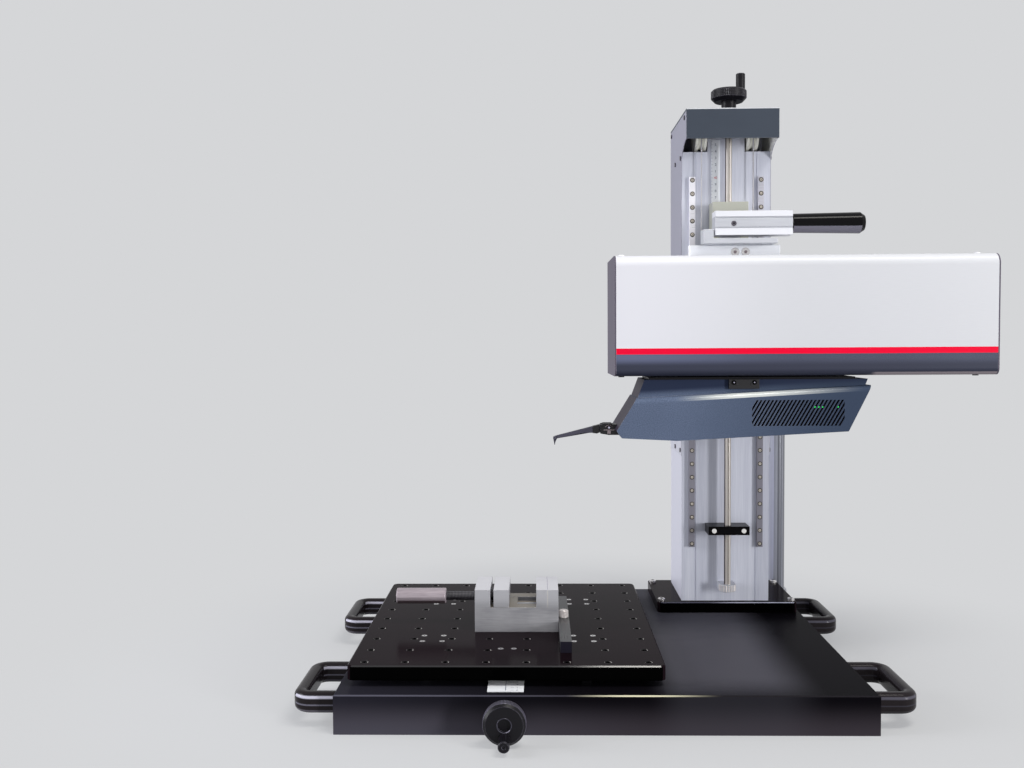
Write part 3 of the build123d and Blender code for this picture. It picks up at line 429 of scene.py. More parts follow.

# %% [markdown]
# The column is an extruded aluminium profile, and extrusion leaves fine streaks along it. So its
# grain is stretched forty times along Z. The sheet metal parts are painted, with a fine even
# peel. The round post is ground, and its bands of light and shade are painted reflections.

# %% Column finishes
finish(
    "silver_profile", (186, 189, 204), (216, 218, 229), (0.35, 0.48), metal=0.2,
    grain=(900, 900, 22), clouds=(60, 60, 0.8), cloud_share=0.6, bump=0.03,
)
# Painted light: the profile's faces towards the left are lighter.
tinted("silver_profile", (224, 224, 238), facing(left, 0.1))
finish(
    "side_paint", (150, 149, 164), (160, 159, 175), (0.45, 0.55), grain=1200, bump=0.08, edge=0.6,
    edge_tone=(214, 212, 222),
)
# Painted light: the side plates are lighter low down, and the right plate's inner edge is lit white.
tinted("side_paint", (214, 214, 226), along(down, -0.6, -0.42))
tinted("side_paint", (252, 252, 250), along(right, 0.26, 0.27), facing(left, 0.3))
finish(
    "post_steel", (144, 146, 156), (156, 158, 168), (0.3, 0.36), metal=0.25, grain=(300, 300, 12),
    bump=0.0,
)
# Painted reflections: a light band on the left of the post, darker ones towards the right.
for middle, width, tone in (
    (-0.65, 0.4, (200, 202, 218)), (0.43, 0.27, (94, 96, 105)), (0.95, 0.2, (116, 118, 126)),
):
    tinted("post_steel", tone, facing((0.975, -0.223, 0.0), width, middle))
finish(
    "slate_paint", (62, 68, 78), (69, 76, 87), (0.4, 0.5), grain=1400, bump=0.1, edge=0.9,
    edge_tone=(176, 182, 190), specular=0.08,
)
# Painted highlight: a light line along the cap's top front edge.
tinted("slate_paint", (206, 208, 213), along(up, 0.8073, 0.8078), front_faces)
finish(
    "ground_rail", (178, 177, 187), (204, 203, 213), (0.25, 0.4), metal=0.4, grain=(60, 60, 900),
    clouds=(20, 20, 10), cloud_share=0.3, edge=0.5, edge_tone=(240, 240, 246),
)
# Painted light: the left rail is lighter. Painted shade: the rails are darker low down.
tinted("ground_rail", (246, 244, 250), along(left, -0.24, -0.18))
tinted("ground_rail", (128, 126, 136), along(down, -0.56, -0.36))
print("finishes so far:", len(finishes))

# %% [markdown]
# Steel and aluminium fittings come next. Turned pieces have lines round them and milled ones
# along them, so the grain is long in one axis and fine in the others. The lift screw is a thin
# bright rod with a dark line on its left and a weaker one near its middle, both painted
# reflections.

# %% Steel and aluminium finishes
finish(
    "bright_steel", (206, 202, 202), (228, 226, 226), (0.16, 0.26), metal=0.9, grain=(30, 30, 8),
    bump=0.0,
)
finish(
    "spindle_steel", (172, 166, 160), (200, 194, 188), (0.3, 0.36), metal=0.3,
    grain=(420, 420, 4), bump=0.0, cloud_share=0.0,
)
# Painted reflections: a dark line on the screw's left and a weaker one near its middle.
tinted("spindle_steel", (66, 56, 56), facing(left, 0.3))
tinted("spindle_steel", (96, 88, 84), facing(right, 0.14, 0.12))
milled = {
    "grain": (25, 900, 900), "clouds": (2, 30, 30), "cloud_share": 0.3, "edge": 0.6,
    "edge_tone": (250, 250, 252),
}
finish("light_aluminium", (184, 186, 193), (202, 204, 211), (0.3, 0.42), metal=0.3, **milled)
finish("lever_aluminium", (180, 182, 189), (194, 196, 203), (0.3, 0.42), metal=0.2, **milled)
# Painted highlights: light bands along the top and the bottom of the lever bar.
tinted("lever_aluminium", (226, 227, 233), along(up, 0.6448, 0.6454))
tinted("lever_aluminium", (226, 227, 233), along(down, -0.6287, -0.6281))
# Painted light: a lighter copy of the aluminium for the carriage plate, which makes up for the drive
# unit's shade.
finish("plate_aluminium", (240, 242, 248), (248, 250, 254), (0.3, 0.42), metal=0.2, **milled)
finish(
    "vice_steel", (136, 136, 141), (176, 175, 179), (0.3, 0.45), metal=0.35,
    grain=(40, 300, 600), clouds=(22, 22, 40), cloud_share=0.65, bump=0.03, edge=0.9,
    edge_tone=(214, 212, 216),
)
tops_of_the_vice = facing(up, 0.2)
# Painted light: the vice is lighter high up and on its tops. Painted shade keeps the low pocket floor
# darker and browner.
tinted("vice_steel", (184, 184, 189), along(up, 0.104, 0.122))
tinted("vice_steel", (222, 221, 226), tops_of_the_vice)
tinted("vice_steel", (122, 113, 100), tops_of_the_vice, along(down, -0.114, -0.112))
finish(
    "turned_handle", (146, 134, 141), (184, 173, 179), (0.3, 0.4), metal=0.3,
    grain=(60, 1500, 1500), clouds=(20, 60, 60), cloud_share=0.3, edge=0.5,
)
# Painted shade: the handle's underside is darker.
tinted("turned_handle", (88, 76, 80), facing((0.0, -0.3, -0.95), 0.3))
finish("cast_weight", (70, 70, 74), (88, 88, 92), (0.5, 0.65), grain=400, bump=0.3)
finish(
    "stylus_slate", (54, 53, 66), (72, 70, 86), (0.3, 0.4), metal=0.5, grain=(200, 900, 900),
    bump=0.03, edge=0.5, edge_tone=(130, 128, 144),
)
finish(
    "knurled_steel", (196, 188, 186), (232, 226, 224), (0.3, 0.42), metal=0.4,
    grain=(700, 700, 300), bump=0.04,
)
print("finishes so far:", len(finishes))

# %% [markdown]
# The drive unit's front panel is a light metallic paint with hardly any texture, and the band
# below it and the probe are darker metallic paints, made with a very fine grain. The probe's
# upper part is a recessed adapter, made darker as painted shade. The line between the two leans
# by three degrees like the housing, so its mask runs along a direction that leans with it. The
# probe's sloping left end is darker and browner than its front, and its front gets a little
# darker towards the right, both as painted shade. Its ridge is coated and painted lighter, so
# that the lamp above and a painted highlight draw a line there.

# %% Paint finishes
finish(
    "panel_paint", (214, 215, 220), (219, 220, 225), (0.34, 0.42), grain=(70, 1400, 1400),
    clouds=3, bump=0.02, specular=0.4,
)
# Painted light: the panel is lighter towards the left.
tinted("panel_paint", (232, 232, 239), along(left, -0.3, -0.03))
finish(
    "unit_band", (64, 68, 86), (84, 88, 108), (0.38, 0.48), metal=0.1, cloud_share=0.3, bump=0.1,
    specular=0.2,
)
# Painted light: the band is lighter towards the left. It is darker low down as painted shade, with a
# painted highlight under its right end.
tinted("unit_band", (100, 106, 134), along(left, -0.3, -0.03))
tinted("unit_band", (54, 57, 73), along(down, -0.445, -0.434))
tinted("unit_band", (156, 146, 152), along(down, -0.426, -0.4245), along(right, 0.36, 0.37))
finish(
    "end_paint", (90, 84, 98), (100, 94, 108), (0.4, 0.5), grain=1300, bump=0.1, edge=0.7,
    edge_tone=(200, 198, 208), specular=0.05,
)
finish(
    "probe_paint", (76, 88, 110), (110, 122, 147), (0.3, 0.4), clouds=8, cloud_share=0.2,
    bump=0.15, edge=0.9, edge_tone=(176, 180, 194), specular=0.01,
)
leaning = (-math.tan(math.radians(3)), 0.0, 1.0)
# Painted shade: darker towards the right, in the upper part and on the left end. The coated ridge line is
# a painted highlight.
tinted("probe_paint", (63, 74, 94), along(right, 0.1, 0.34))
tinted("probe_paint", (50, 58, 80), along(leaning, 0.3898, 0.3993))
tinted("probe_paint", (56, 51, 62), facing(left, 0.5))
tinted(
    "probe_paint", (212, 216, 213), facing((0.0, -0.8, 0.6), 0.12), along(right, 0.1, 0.19),
    along(left, -0.36, -0.19), coated=True,
)
finish("stripe_red", (244, 0, 52), (250, 2, 58), (0.3, 0.36), grain=500, bump=0.02, specular=0.12)
print("finishes so far:", len(finishes))

# %% [markdown]
# What is left is small: plates and plastic parts, ink, screw heads and the rims of holes. The
# drive unit's cover screws are dark below and bright on top, as painted shade and light, and the
# column's side screws are bright near the base only. Each of these finishes is little more than
# its two tones.

# %% Finishes of plates, screws and ink
finish("white_plate", (240, 243, 249), (246, 249, 254), (0.4, 0.5), metal=0.5, grain=900, bump=0.02)
finish("feed_plate", (246, 248, 252), (252, 253, 255), (0.5, 0.6), grain=900, bump=0.02, specular=0.3)
finish(
    "cream_plastic", (164, 165, 155), (174, 175, 165), (0.4, 0.5), grain=600, edge=0.4,
    edge_tone=(240, 240, 226),
)
finish("ivory_plastic", (246, 245, 234), (252, 251, 242), (0.5, 0.6), metal=0.4, grain=600, bump=0.04)
finish("cover_screws", (18, 17, 20), (26, 25, 29), (0.3, 0.4), bump=0.02, specular=0.1)
# Painted light and shade: the cover screws on top are bright, those below dark.
tinted("cover_screws", (236, 236, 240), along(up, 0.5, 0.51))
for name, dark, light, rough, metal, bump in (
    ("screw_ring", (52, 46, 43), (70, 64, 60), (0.35, 0.45), 0.3, 0.02),
    ("screw_head", (196, 188, 176), (214, 206, 194), (0.3, 0.4), 0.4, 0.02),
    ("head_slate", (74, 70, 80), (92, 88, 98), (0.3, 0.4), 0.3, 0.02),
    ("side_screw", (74, 70, 80), (92, 88, 98), (0.3, 0.4), 0.3, 0.02),
    ("clip_steel", (122, 110, 114), (142, 130, 134), (0.25, 0.35), 0.4, 0.0),
    ("recess_rim", (62, 60, 72), (78, 76, 90), (0.25, 0.35), 0.3, 0.0),
    ("bare_edge", (168, 164, 184), (190, 186, 204), (0.2, 0.3), 0.5, 0.0),
    # rim_bright draws painted highlights: the arcs on the table's hole rims and the vice seam's front.
    ("rim_bright", (216, 212, 206), (232, 228, 222), (0.2, 0.3), 0.5, 0.0),
    ("mark_ink", (70, 84, 112), (80, 94, 122), (0.5, 0.6), 0.0, 0.0),
    ("mark_red", (214, 40, 54), (220, 48, 60), (0.5, 0.6), 0.0, 0.0),
):
    finish(name, dark, light, rough, metal=metal, bump=bump)
tinted("side_screw", (236, 234, 230), along(down, -0.25, -0.24))
# socket_dark draws the hollows of hexagon sockets as painted shade.
finish("socket_dark", (14, 13, 15), (24, 23, 26), (0.5, 0.6), bump=0.0, specular=0.2)
finish("vent_dark", (7, 8, 13), (12, 13, 20), (0.7, 0.8), bump=0.0, specular=0.05)
# rim_dark is painted shade in the table's countersinks, and the own dark colour of the lock plate's
# screws.
finish("rim_dark", (2, 2, 3), (4, 4, 5), (0.4, 0.5), bump=0.0, specular=0.05)
print("finishes so far:", len(finishes))

# %% [markdown]
# The ropes are stranded steel wire, and the vice has a black screw with a fine thread. What the
# eye sees of both is a row of bright and dark lines. A sine along a direction gives them, with
# the distance between the lines as its pitch. The lines tint the metal, the darker ones as
# painted shade in the grooves, and raise it in the bump. The status lamps glow a little by
# themselves.


# %% The winding group
def build_winding():
    """Lines across a direction, as 0 to 1, for strands and threads."""
    tree, given = new_group(
        "winding lines",
        [("Vector", "Direction", (1.0, 0.0, 0.0)), ("Float", "Pitch", 0.002)],
        [("Float", "Mask")],
    )
    distance = dot_product(tree, own_place(tree), given["Direction"])
    turns = calculate(tree, "DIVIDE", distance, given["Pitch"])
    wave = calculate(tree, "SINE", calculate(tree, "MULTIPLY", turns, 2 * math.pi))
    add(tree, "NodeGroupOutput", {"Mask": ramp(tree, wave, -1.0, 1.0)})
    return tree


winding_group = build_winding()


def wound(name, direction, pitch, tone):
    """Put lines in another tone on a finish, with a bump."""
    lines = {"Direction": direction, "Pitch": pitch}
    tinted(name, tone, (winding_group, lines))
    tree = finishes[name].node_tree
    ridges = add(tree, "ShaderNodeGroup", lines, node_tree=winding_group)
    relief = add(tree, "ShaderNodeBump", {
        "Strength": 0.6, "Distance": 0.3 * mm, "Height": ridges.outputs["Mask"],
    })
    fill(tree, tree.nodes["Principled BSDF"], {"Normal": relief.outputs[0]})


# Painted shade: the darker lines lie in the grooves between strands and thread turns.
finish("wire_rope", (208, 206, 212), (226, 224, 230), (0.4, 0.5), metal=0.3, bump=0.0)
wound("wire_rope", (0.5, 0.5, 1.0), 1.6 * mm, (176, 174, 178))
finish("thread_black", (76, 74, 78), (104, 102, 108), (0.35, 0.45), metal=0.4, bump=0.0)
wound("thread_black", (1.0, 0.0, 0.12), 2 * mm, (8, 8, 9))
lamp = finish("lamp_green", (30, 170, 70), (50, 200, 90), (0.2, 0.3), bump=0.0)
fill(lamp.node_tree, lamp.node_tree.nodes["Principled BSDF"], {
    "Emission Color": shade(40, 230, 90), "Emission Strength": 1.2,
})
print("finishes in all:", len(finishes))

# %% [markdown]
# Now every solid gets its finish. The list goes by finish, because one finish is often worn by
# several solids, and it is the place to look when a piece should be made of something else. The
# cell ends by naming any solid that was forgotten.

# %% Give every solid its finish
worn_by = {
    "base_black": ["base_plate"],
    "table_black": ["hole_table"],
    "foot_black": ["column_foot"],
    "rail_black": ["stop_rail"],
    "block_black": ["limit_block"],
    "black_oxide": ["probe_slide"],
    "cover_screws": ["edge_screws"],
    "side_screw": ["column_screws"],
    "thread_black": ["vice_screw"],
    "wheel_black": ["lift_handwheel", "feed_handwheel", "lift_crank_grip", "feed_crank_grip"],
    "stylus_slate": ["stylus_arm", "stylus_tip"],
    "black_plastic": ["probe_lock_plate", "stylus_fork"],
    "grip_gloss": ["lever_grip"],
    "handle_plastic": [
        "handle_front_left", "handle_front_right", "handle_rear_left", "handle_rear_right",
    ],
    "silver_profile": ["column_profile"],
    "post_steel": ["rear_post"],
    "side_paint": ["column_side_plates"],
    "slate_paint": ["column_cap"],
    "ground_rail": ["guide_rails", "table_rails", "table_blocks"],
    "bright_steel": ["foot_screws", "table_screws", "pulley_axle", "feed_screw"],
    "spindle_steel": ["lift_screw"],
    "knurled_steel": ["stop_thumbscrew"],
    "light_aluminium": [
        "carriage_blocks", "tilt_flange", "lever_bracket", "screw_bearings", "post_holders",
    ],
    "lever_aluminium": ["lever_bar"],
    "plate_aluminium": ["carriage_plate"],
    "vice_steel": ["vice_body", "vice_jaw"],
    "turned_handle": ["vice_handle"],
    "cast_weight": ["counterweight"],
    "panel_paint": ["unit_cover"],
    "unit_band": ["unit_housing"],
    "end_paint": ["end_caps"],
    "probe_paint": ["probe_housing"],
    "stripe_red": ["trim_stripe"],
    "white_plate": ["column_scale"],
    "feed_plate": ["feed_scale"],
    "cream_plastic": ["lift_nut"],
    "ivory_plastic": ["pulleys"],
    "wire_rope": ["front_ropes", "back_ropes", "rope_bends"],
    "lamp_green": ["status_lamps"],
}


def dress(piece, name):
    """Put one finish on a whole piece."""
    piece.data.materials.clear()
    piece.data.materials.append(finishes[name])
    return piece


for name, wearers in worn_by.items():
    for wearer in wearers:
        dress(nodes[wearer], name)
undressed = set(nodes) - {wearer for wearers in worn_by.values() for wearer in wearers}
print("solids without a finish:", undressed)

# %% [markdown]
# Apart from the numbers, every added piece is a skin over rings of points. Two rings make a
# plate, and more of them a turned part, a knurl's ridge or a rope. A skin is capped at both ends,
# or joined end to start as a washer is. The normals are recalculated to point outwards.


# %% Helpers for shapes
def new_piece(name, mesh):
    """An object at the origin that shows a mesh."""
    piece = bpy.data.objects.new(name, mesh)
    bpy.context.scene.collection.objects.link(piece)
    return piece


def skinned(name, rings, looped=False):
    """A closed skin over rings of points, capped at both ends or joined end to start."""
    build = bmesh.new()
    rows = [[build.verts.new(spot) for spot in ring] for ring in rings]
    for low, high in zip(rows, rows[1:] + rows[:1] if looped else rows[1:]):
        for step in range(len(low)):
            after = (step + 1) % len(low)
            build.faces.new((low[step], low[after], high[after], high[step]))
    if not looped:
        build.faces.new(list(reversed(rows[0])))
        build.faces.new(rows[-1])
    bmesh.ops.recalc_face_normals(build, faces=build.faces)
    mesh = bpy.data.meshes.new(name)
    build.to_mesh(mesh)
    build.free()
    return new_piece(name, mesh)


def turned(name, profile, sides=16, looped=False):
    """A piece turned about Z from (radius, height) points, listed from bottom to top."""
    rings = []
    for radius, height in profile:
        angles = [2 * math.pi * step / sides for step in range(sides)]
        rings.append([(radius * math.cos(a), radius * math.sin(a), height) for a in angles])
    return skinned(name, rings, looped)


def flat_box(name, width, depth, height):
    """A thin plate on z = 0, centred in x and y."""
    across = width / 2
    along_y = depth / 2
    corners = [(-across, -along_y), (across, -along_y), (across, along_y), (-across, along_y)]
    return skinned(name, [[(x, y, level) for x, y in corners] for level in (0, height)])


def glint(name, radius, width, height, start, end, steps=5):
    """A thin arc with a sloped top, as the part of a rim that catches the light."""
    rings = []
    for step in range(steps + 1):
        angle = math.radians(start + (end - start) * step / steps)
        rings.append([
            ((radius + reach) * math.cos(angle), (radius + reach) * math.sin(angle), level)
            for reach, level in ((0, 0.0), (width, 0.0), (width / 2, height))
        ])
    return skinned(name, rings)


# %% [markdown]
# Screws, scale marks and rims repeat by the dozen. Geometry Nodes puts a copy of one template on
# every point of a grid, of a ring or of a list of places, makes the copies real and sets their
# material. The three trees differ only in where the points come from. The result is kept as a
# plain mesh, so the modifier can go.


# %% Helpers for copies
def grid_points(tree, given):
    """The crossings of a grid in X and Y."""
    grid = add(tree, "GeometryNodeMeshGrid", {
        "Size X": given["Width"], "Size Y": given["Depth"],
        "Vertices X": given["Columns"], "Vertices Y": given["Rows"],
    })
    return {"Points": grid.outputs["Mesh"]}


def ring_points(tree, given):
    """Points on a circle about Z, where each copy faces outwards."""
    ring = {"Vertices": given["Count"], "Radius": given["Radius"]}
    circle = add(tree, "GeometryNodeMeshCircle", ring)
    outward = add(tree, "GeometryNodeInputPosition").outputs[0]
    turn = add(tree, "FunctionNodeAlignRotationToVector", {"Vector": outward}, axis="X")
    return {"Points": circle.outputs["Mesh"], "Rotation": turn.outputs[0]}


def listed_points(tree, given):
    """The points of the mesh that carries the modifier."""
    return {"Points": given["Geometry"]}


def copies_tree(name, inputs, find_points):
    """Copies of a template on points, made real, moved to a centre and given a material."""
    shared = [
        ("Geometry", "Geometry"), ("Object", "Template"), ("Vector", "Centre"), ("Material", "Finish"),
    ]
    tree, given = new_group(name, shared + inputs, [("Geometry", "Geometry")], "Geometry")
    template = add(tree, "GeometryNodeObjectInfo", {0: given["Template"]}).outputs["Geometry"]
    places = {"Instance": template, **find_points(tree, given)}
    copies = add(tree, "GeometryNodeInstanceOnPoints", places).outputs[0]
    real = add(tree, "GeometryNodeRealizeInstances", {0: copies}).outputs[0]
    place = {"Geometry": real, "Translation": given["Centre"]}
    moved = add(tree, "GeometryNodeTransform", place).outputs[0]
    paint = {"Geometry": moved, "Material": given["Finish"]}
    add(tree, "NodeGroupOutput", {0: add(tree, "GeometryNodeSetMaterial", paint).outputs[0]})
    return tree


copy_grid = copies_tree(
    "grid of copies",
    [("Int", "Columns"), ("Int", "Rows"), ("Float", "Width"), ("Float", "Depth")],
    grid_points,
)
copy_ring = copies_tree("ring of copies", [("Int", "Count"), ("Float", "Radius")], ring_points)
copy_list = copies_tree("copies on a list", [], listed_points)


def grown(name, tree, template, finish_name, spots=(), **values):
    """Run a tree with these inputs, keep the result as a plain mesh, and drop the template."""
    mesh = bpy.data.meshes.new(name)
    mesh.from_pydata([tuple(spot) for spot in spots], [], [])
    holder = new_piece(name, mesh)
    modifier = holder.modifiers.new("copies", "NODES")
    modifier.node_group = tree
    values = {"Template": template, "Finish": finishes[finish_name], **values}
    for item in tree.interface.items_tree:
        if item.in_out == "INPUT" and item.name in values:
            modifier[item.identifier] = values[item.name]
    bpy.context.view_layer.update()
    seen = holder.evaluated_get(bpy.context.evaluated_depsgraph_get())
    result = bpy.data.meshes.new_from_object(seen)
    holder.modifiers.clear()
    holder.data = result
    bpy.data.objects.remove(template)
    return holder


# %% [markdown]
# A finished piece keeps its object at the origin, so its place goes into its mesh. Fittings and
# marks are drawn flat, in X and Y, and those that face the front are then stood up, with their Y
# along Z. Last, a piece is told which body it rides on.


# %% Helpers for placing
stood_up = Matrix.Rotation(math.radians(90), 4, "X")


def put(piece, spot, stand=False):
    """Move a piece's mesh to a spot, standing up to face the front if asked."""
    place = Matrix.Translation(spot)
    piece.data.transform(place @ stood_up if stand else place)
    piece.data.update()
    return piece


def joined(name, pieces):
    """Join several finished meshes into one piece."""
    keep = pieces[0]
    with bpy.context.temp_override(
        active_object=keep, object=keep, selected_editable_objects=pieces, selected_objects=pieces,
    ):
        bpy.ops.object.join()
    keep.name = name
    return keep


def seat(piece, body):
    """Let a finished piece ride on its body."""
    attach(piece, body)
    print(piece.name, "rides on", body, "with", len(piece.data.polygons), "faces")


def middle(low, high):
    """The point halfway between two corners."""
    return (low + high) / 2


# %% [markdown]
# Each rail is held by a row of screws sunk in counterbores. From the front each one is a brown
# ring with a pale head in it and a small hexagon in the middle. They are made as three thin
# turned pieces, repeated up both rails with the same grid.

# %% Rail screws
rail_low, rail_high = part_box("guide_rails")
rail_middle = middle(rail_low, rail_high)
rail_face = (rail_middle.x, rail_low.y, rail_middle.z)
rail_spacing = 104 * mm
rail_screw_rows = 28
rail_margin = 5 * mm
screw_rows = rail_high.z - rail_low.z - 2 * rail_margin
rail_parts = []
for profile, finish_name, sides in (
    ([(3.6, 0), (3.6, 0.12), (3.3, 0.2), (2.1, 0.2)], "screw_ring", 14),
    ([(2.05, 0), (2.05, 0.3), (1.7, 0.5)], "screw_head", 12),
    # The small dark hexagon is painted shade in the screw's socket.
    ([(0.8, 0.4), (0.8, 0.56)], "screw_ring", 6),
):
    template = turned("screw", [(radius * mm, level * mm) for radius, level in profile], sides)
    part = grown(
        "rail_part", copy_grid, template, finish_name,
        Columns=2, Rows=rail_screw_rows, Width=rail_spacing, Depth=screw_rows,
    )
    rail_parts.append(put(part, rail_face, stand=True))
seat(joined("rail_screws", rail_parts), "stand")

# %% [markdown]
# The table is drilled and tapped on a 50 mm grid. The holes themselves are in the solid. What
# shows first in the light is the countersink: a flat dark ring as painted shade of its hollow,
# with two thin bright arcs on the rim, where the cutter left bare metal, as painted highlights
# where that metal catches the light.

# %% Hole rims in the table
table_low, table_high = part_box("hole_table")
table_middle = middle(table_low, table_high)
hole_pitch = 50 * mm
hole_columns = 8
hole_rows = 9
rim_inner = 3.02 * mm
rim_outer = 4.6 * mm
rim_height = 0.05 * mm
rim_profile = [
    (rim_inner, 0.0), (rim_outer, 0.0), (rim_outer - rim_height, rim_height),
    (rim_outer - 2 * rim_height, rim_height),
]
arc_radius = rim_outer - 0.5 * mm
rim_parts = []
# Painted shade in the dark ring, painted highlights in the two bright arcs.
for part, finish_name in (
    (turned("sink", rim_profile, 20, looped=True), "rim_dark"),
    (glint("right", arc_radius, 0.6 * mm, 0.12 * mm, -35, 50), "rim_bright"),
    (glint("left", arc_radius, 0.4 * mm, 0.09 * mm, 165, 200), "rim_bright"),
):
    rim_parts.append(grown(
        "rim_part", copy_grid, part, finish_name,
        Columns=hole_columns, Rows=hole_rows, Width=(hole_columns - 1) * hole_pitch,
        Depth=(hole_rows - 1) * hole_pitch, Centre=(table_middle.x, table_middle.y, table_high.z),
    ))
seat(joined("hole_rims", rim_parts), "table")

# %% [markdown]
# The flush screws of the guide blocks and the screws of the column's foot have hexagon sockets,
# drawn as thin dark hexagons, as painted shade of their hollows.
# Where the screws are is read from the solids: each separate solid of a node is found by walking
# along its edges, and the middle of its top is the place of a socket.


# %% Screw sockets
def tops(node):
    """The middle of the top of each separate solid in a node."""
    build = bmesh.new()
    build.from_mesh(nodes[node].data)
    bmesh.ops.remove_doubles(build, verts=build.verts, dist=0.01 * mm)
    seen = set()
    spots = []
    for start in build.verts:
        if start in seen:
            continue
        seen.add(start)
        todo = [start]
        island = []
        while todo:
            vert = todo.pop()
            island.append(vert.co.copy())
            for edge in vert.link_edges:
                other = edge.other_vert(vert)
                if other not in seen:
                    seen.add(other)
                    todo.append(other)
        low = Vector(min(co[i] for co in island) for i in range(3))
        high = Vector(max(co[i] for co in island) for i in range(3))
        spots.append((*middle(low, high).xy, high.z))
    build.free()
    return spots


for name, node, radius, body in (
    ("table_sockets", "table_screws", 1.0 * mm, "table"),
    ("foot_sockets", "foot_screws", 2.4 * mm, "stand"),
):
    socket = turned("socket", [(radius, 0.0), (radius, 0.12 * mm)], 6)
    seat(grown(name, copy_list, socket, "socket_dark", tops(node)), body)

# %% [markdown]
# Handwheels are knurled so that oily fingers can turn them. The knurl is a ring of small ridges.
# Each ridge is a three-sided bar with tapered ends, and Geometry Nodes puts dozens of them on a
# circle, facing outwards. The upper wheel has five short ridges above each other, as a cross
# knurl has, and the others have straight ones.


# %% Knurls
def ridge(radius, count, share, rise, length):
    """A three-sided bar along Z with tapered ends, one of a count round a knob."""
    half_width = math.pi * radius / count * share
    foot = -0.2 * mm
    edge = -0.1 * mm
    half = length / 2
    rings = []
    for level, height in ((-half, 0.0), (rise - half, rise), (half - rise, rise), (half, 0.0)):
        rings.append([(foot, -half_width, level), (foot, half_width, level), (edge + height, 0.0, level)])
    return skinned("ridge", rings)


lift_axis = (211 * mm, 103 * mm)
wheel_radius = 26 * mm
wheel_low = 829.5 * mm
wheel_high = 840.5 * mm
knurl_count = 64
knurl_rows = 5
knurl_step = (wheel_high - wheel_low) / knurl_rows
studs = []
for row in range(knurl_rows):
    stud = ridge(wheel_radius, knurl_count, 0.86, 0.55 * mm, knurl_step * 0.9)
    studs.append(put(stud, (0, 0, (row - (knurl_rows - 1) / 2) * knurl_step)))
lift_knurl = grown(
    "lift_wheel_knurl", copy_ring, joined("studs", studs), "knurl_dark", Count=knurl_count,
    Radius=wheel_radius, Centre=(*lift_axis, (wheel_low + wheel_high) / 2),
)
seat(lift_knurl, "lift_screw")

feed_axis_x = -119 * mm
feed_axis_z = 28 * mm
feed_front = -310 * mm
feed_radius = 25 * mm
feed_knurl_count = 96
bar = ridge(feed_radius, feed_knurl_count, 0.8, 0.6 * mm, 11 * mm)
feed_knurl = grown(
    "feed_wheel_knurl", copy_ring, bar, "knurl_black", Count=feed_knurl_count, Radius=feed_radius,
)
put(feed_knurl, (feed_axis_x, feed_front + 8.5 * mm, feed_axis_z), stand=True)
seat(feed_knurl, "feed_screw")

collar_low = 84 * mm
collar_high = 95 * mm
knob_low, knob_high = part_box("stop_thumbscrew")
knob_middle = middle(knob_low, knob_high)
knob_length = 9 * mm
for name, centre, radius, length, count, rise, body, slot in (
    (
        "collar_knurl", (*lift_axis, (collar_low + collar_high) / 2), 12 * mm,
        collar_high - collar_low - 0.8 * mm, 20, 0.9 * mm, "stand", "light_aluminium",
    ),
    (
        "thumbscrew_knurl", (*knob_middle.xy, knob_high.z - knob_length / 2 - 0.5 * mm),
        (knob_high.x - knob_low.x) / 2, knob_length, 28, 0.5 * mm, "stop_thumbscrew", "bright_steel",
    ),
):
    bar = ridge(radius, count, 0.7, rise, length)
    knurl = grown(
        name, copy_ring, bar, "knurled_steel", Count=count, Radius=radius, Centre=centre,
    )
    seat(knurl, body)

# %% [markdown]
# The last fittings are single ones, and all of them face the front: two socket screws in the
# carriage plate, the head of the lever's pin, two screws in the probe's lock plate, the spring
# clip on the stylus fork's pin and the edge of the feed wheel's recess, whose short bright arc
# is a painted highlight. Behind the slots of the probe lies a dark sheet as painted shade, so
# they read as openings.


# %% Front fittings
def fitting(profile, sides, spot, finish_name):
    """A turned piece, from (radius, height) points in mm, that faces the front at a spot."""
    piece = turned("fitting", [(radius * mm, level * mm) for radius, level in profile], sides)
    return dress(put(piece, spot, stand=True), finish_name)


plate_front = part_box("carriage_plate")[0].y
plate_screws = []
for plate_screw_x in (211.6 * mm, 227 * mm):
    spot = (plate_screw_x, plate_front, 596.7 * mm)
    head = [(6.2, 0.0), (6.2, 0.3), (5.8, 0.6), (3.2, 0.62)]
    plate_screws.append(fitting(head, 24, spot, "bright_steel"))
    plate_screws.append(fitting([(2.6, 0.5), (2.6, 0.7)], 6, spot, "clip_steel"))
seat(joined("plate_screws", plate_screws), "carriage")

pin_spot = (204 * mm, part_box("lever_bar")[0].y, 635 * mm)
pin_head = [
    fitting([(3.8, 0.0), (3.8, 0.4), (3.2, 0.8)], 24, pin_spot, "head_slate"),
    fitting([(1.5, 0.7), (1.3, 0.86)], 12, pin_spot, "socket_dark"),
]
seat(joined("pin_head", pin_head), "carriage")

lock_low, lock_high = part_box("probe_lock_plate")
lock_screw_reach = 13.7 * mm
lock_screws = []
for side in (-1, 1):
    lock_x = middle(lock_low, lock_high).x + side * lock_screw_reach
    spot = (lock_x, lock_low.y, 412 * mm)
    lock_screws.append(fitting([(3.1, 0.0), (3.1, 0.25), (2.6, 0.4)], 16, spot, "rim_dark"))
    lock_screws.append(fitting([(0.9, 0.4), (0.9, 0.55)], 6, spot, "bare_edge"))
seat(joined("lock_screws", lock_screws), "probe")

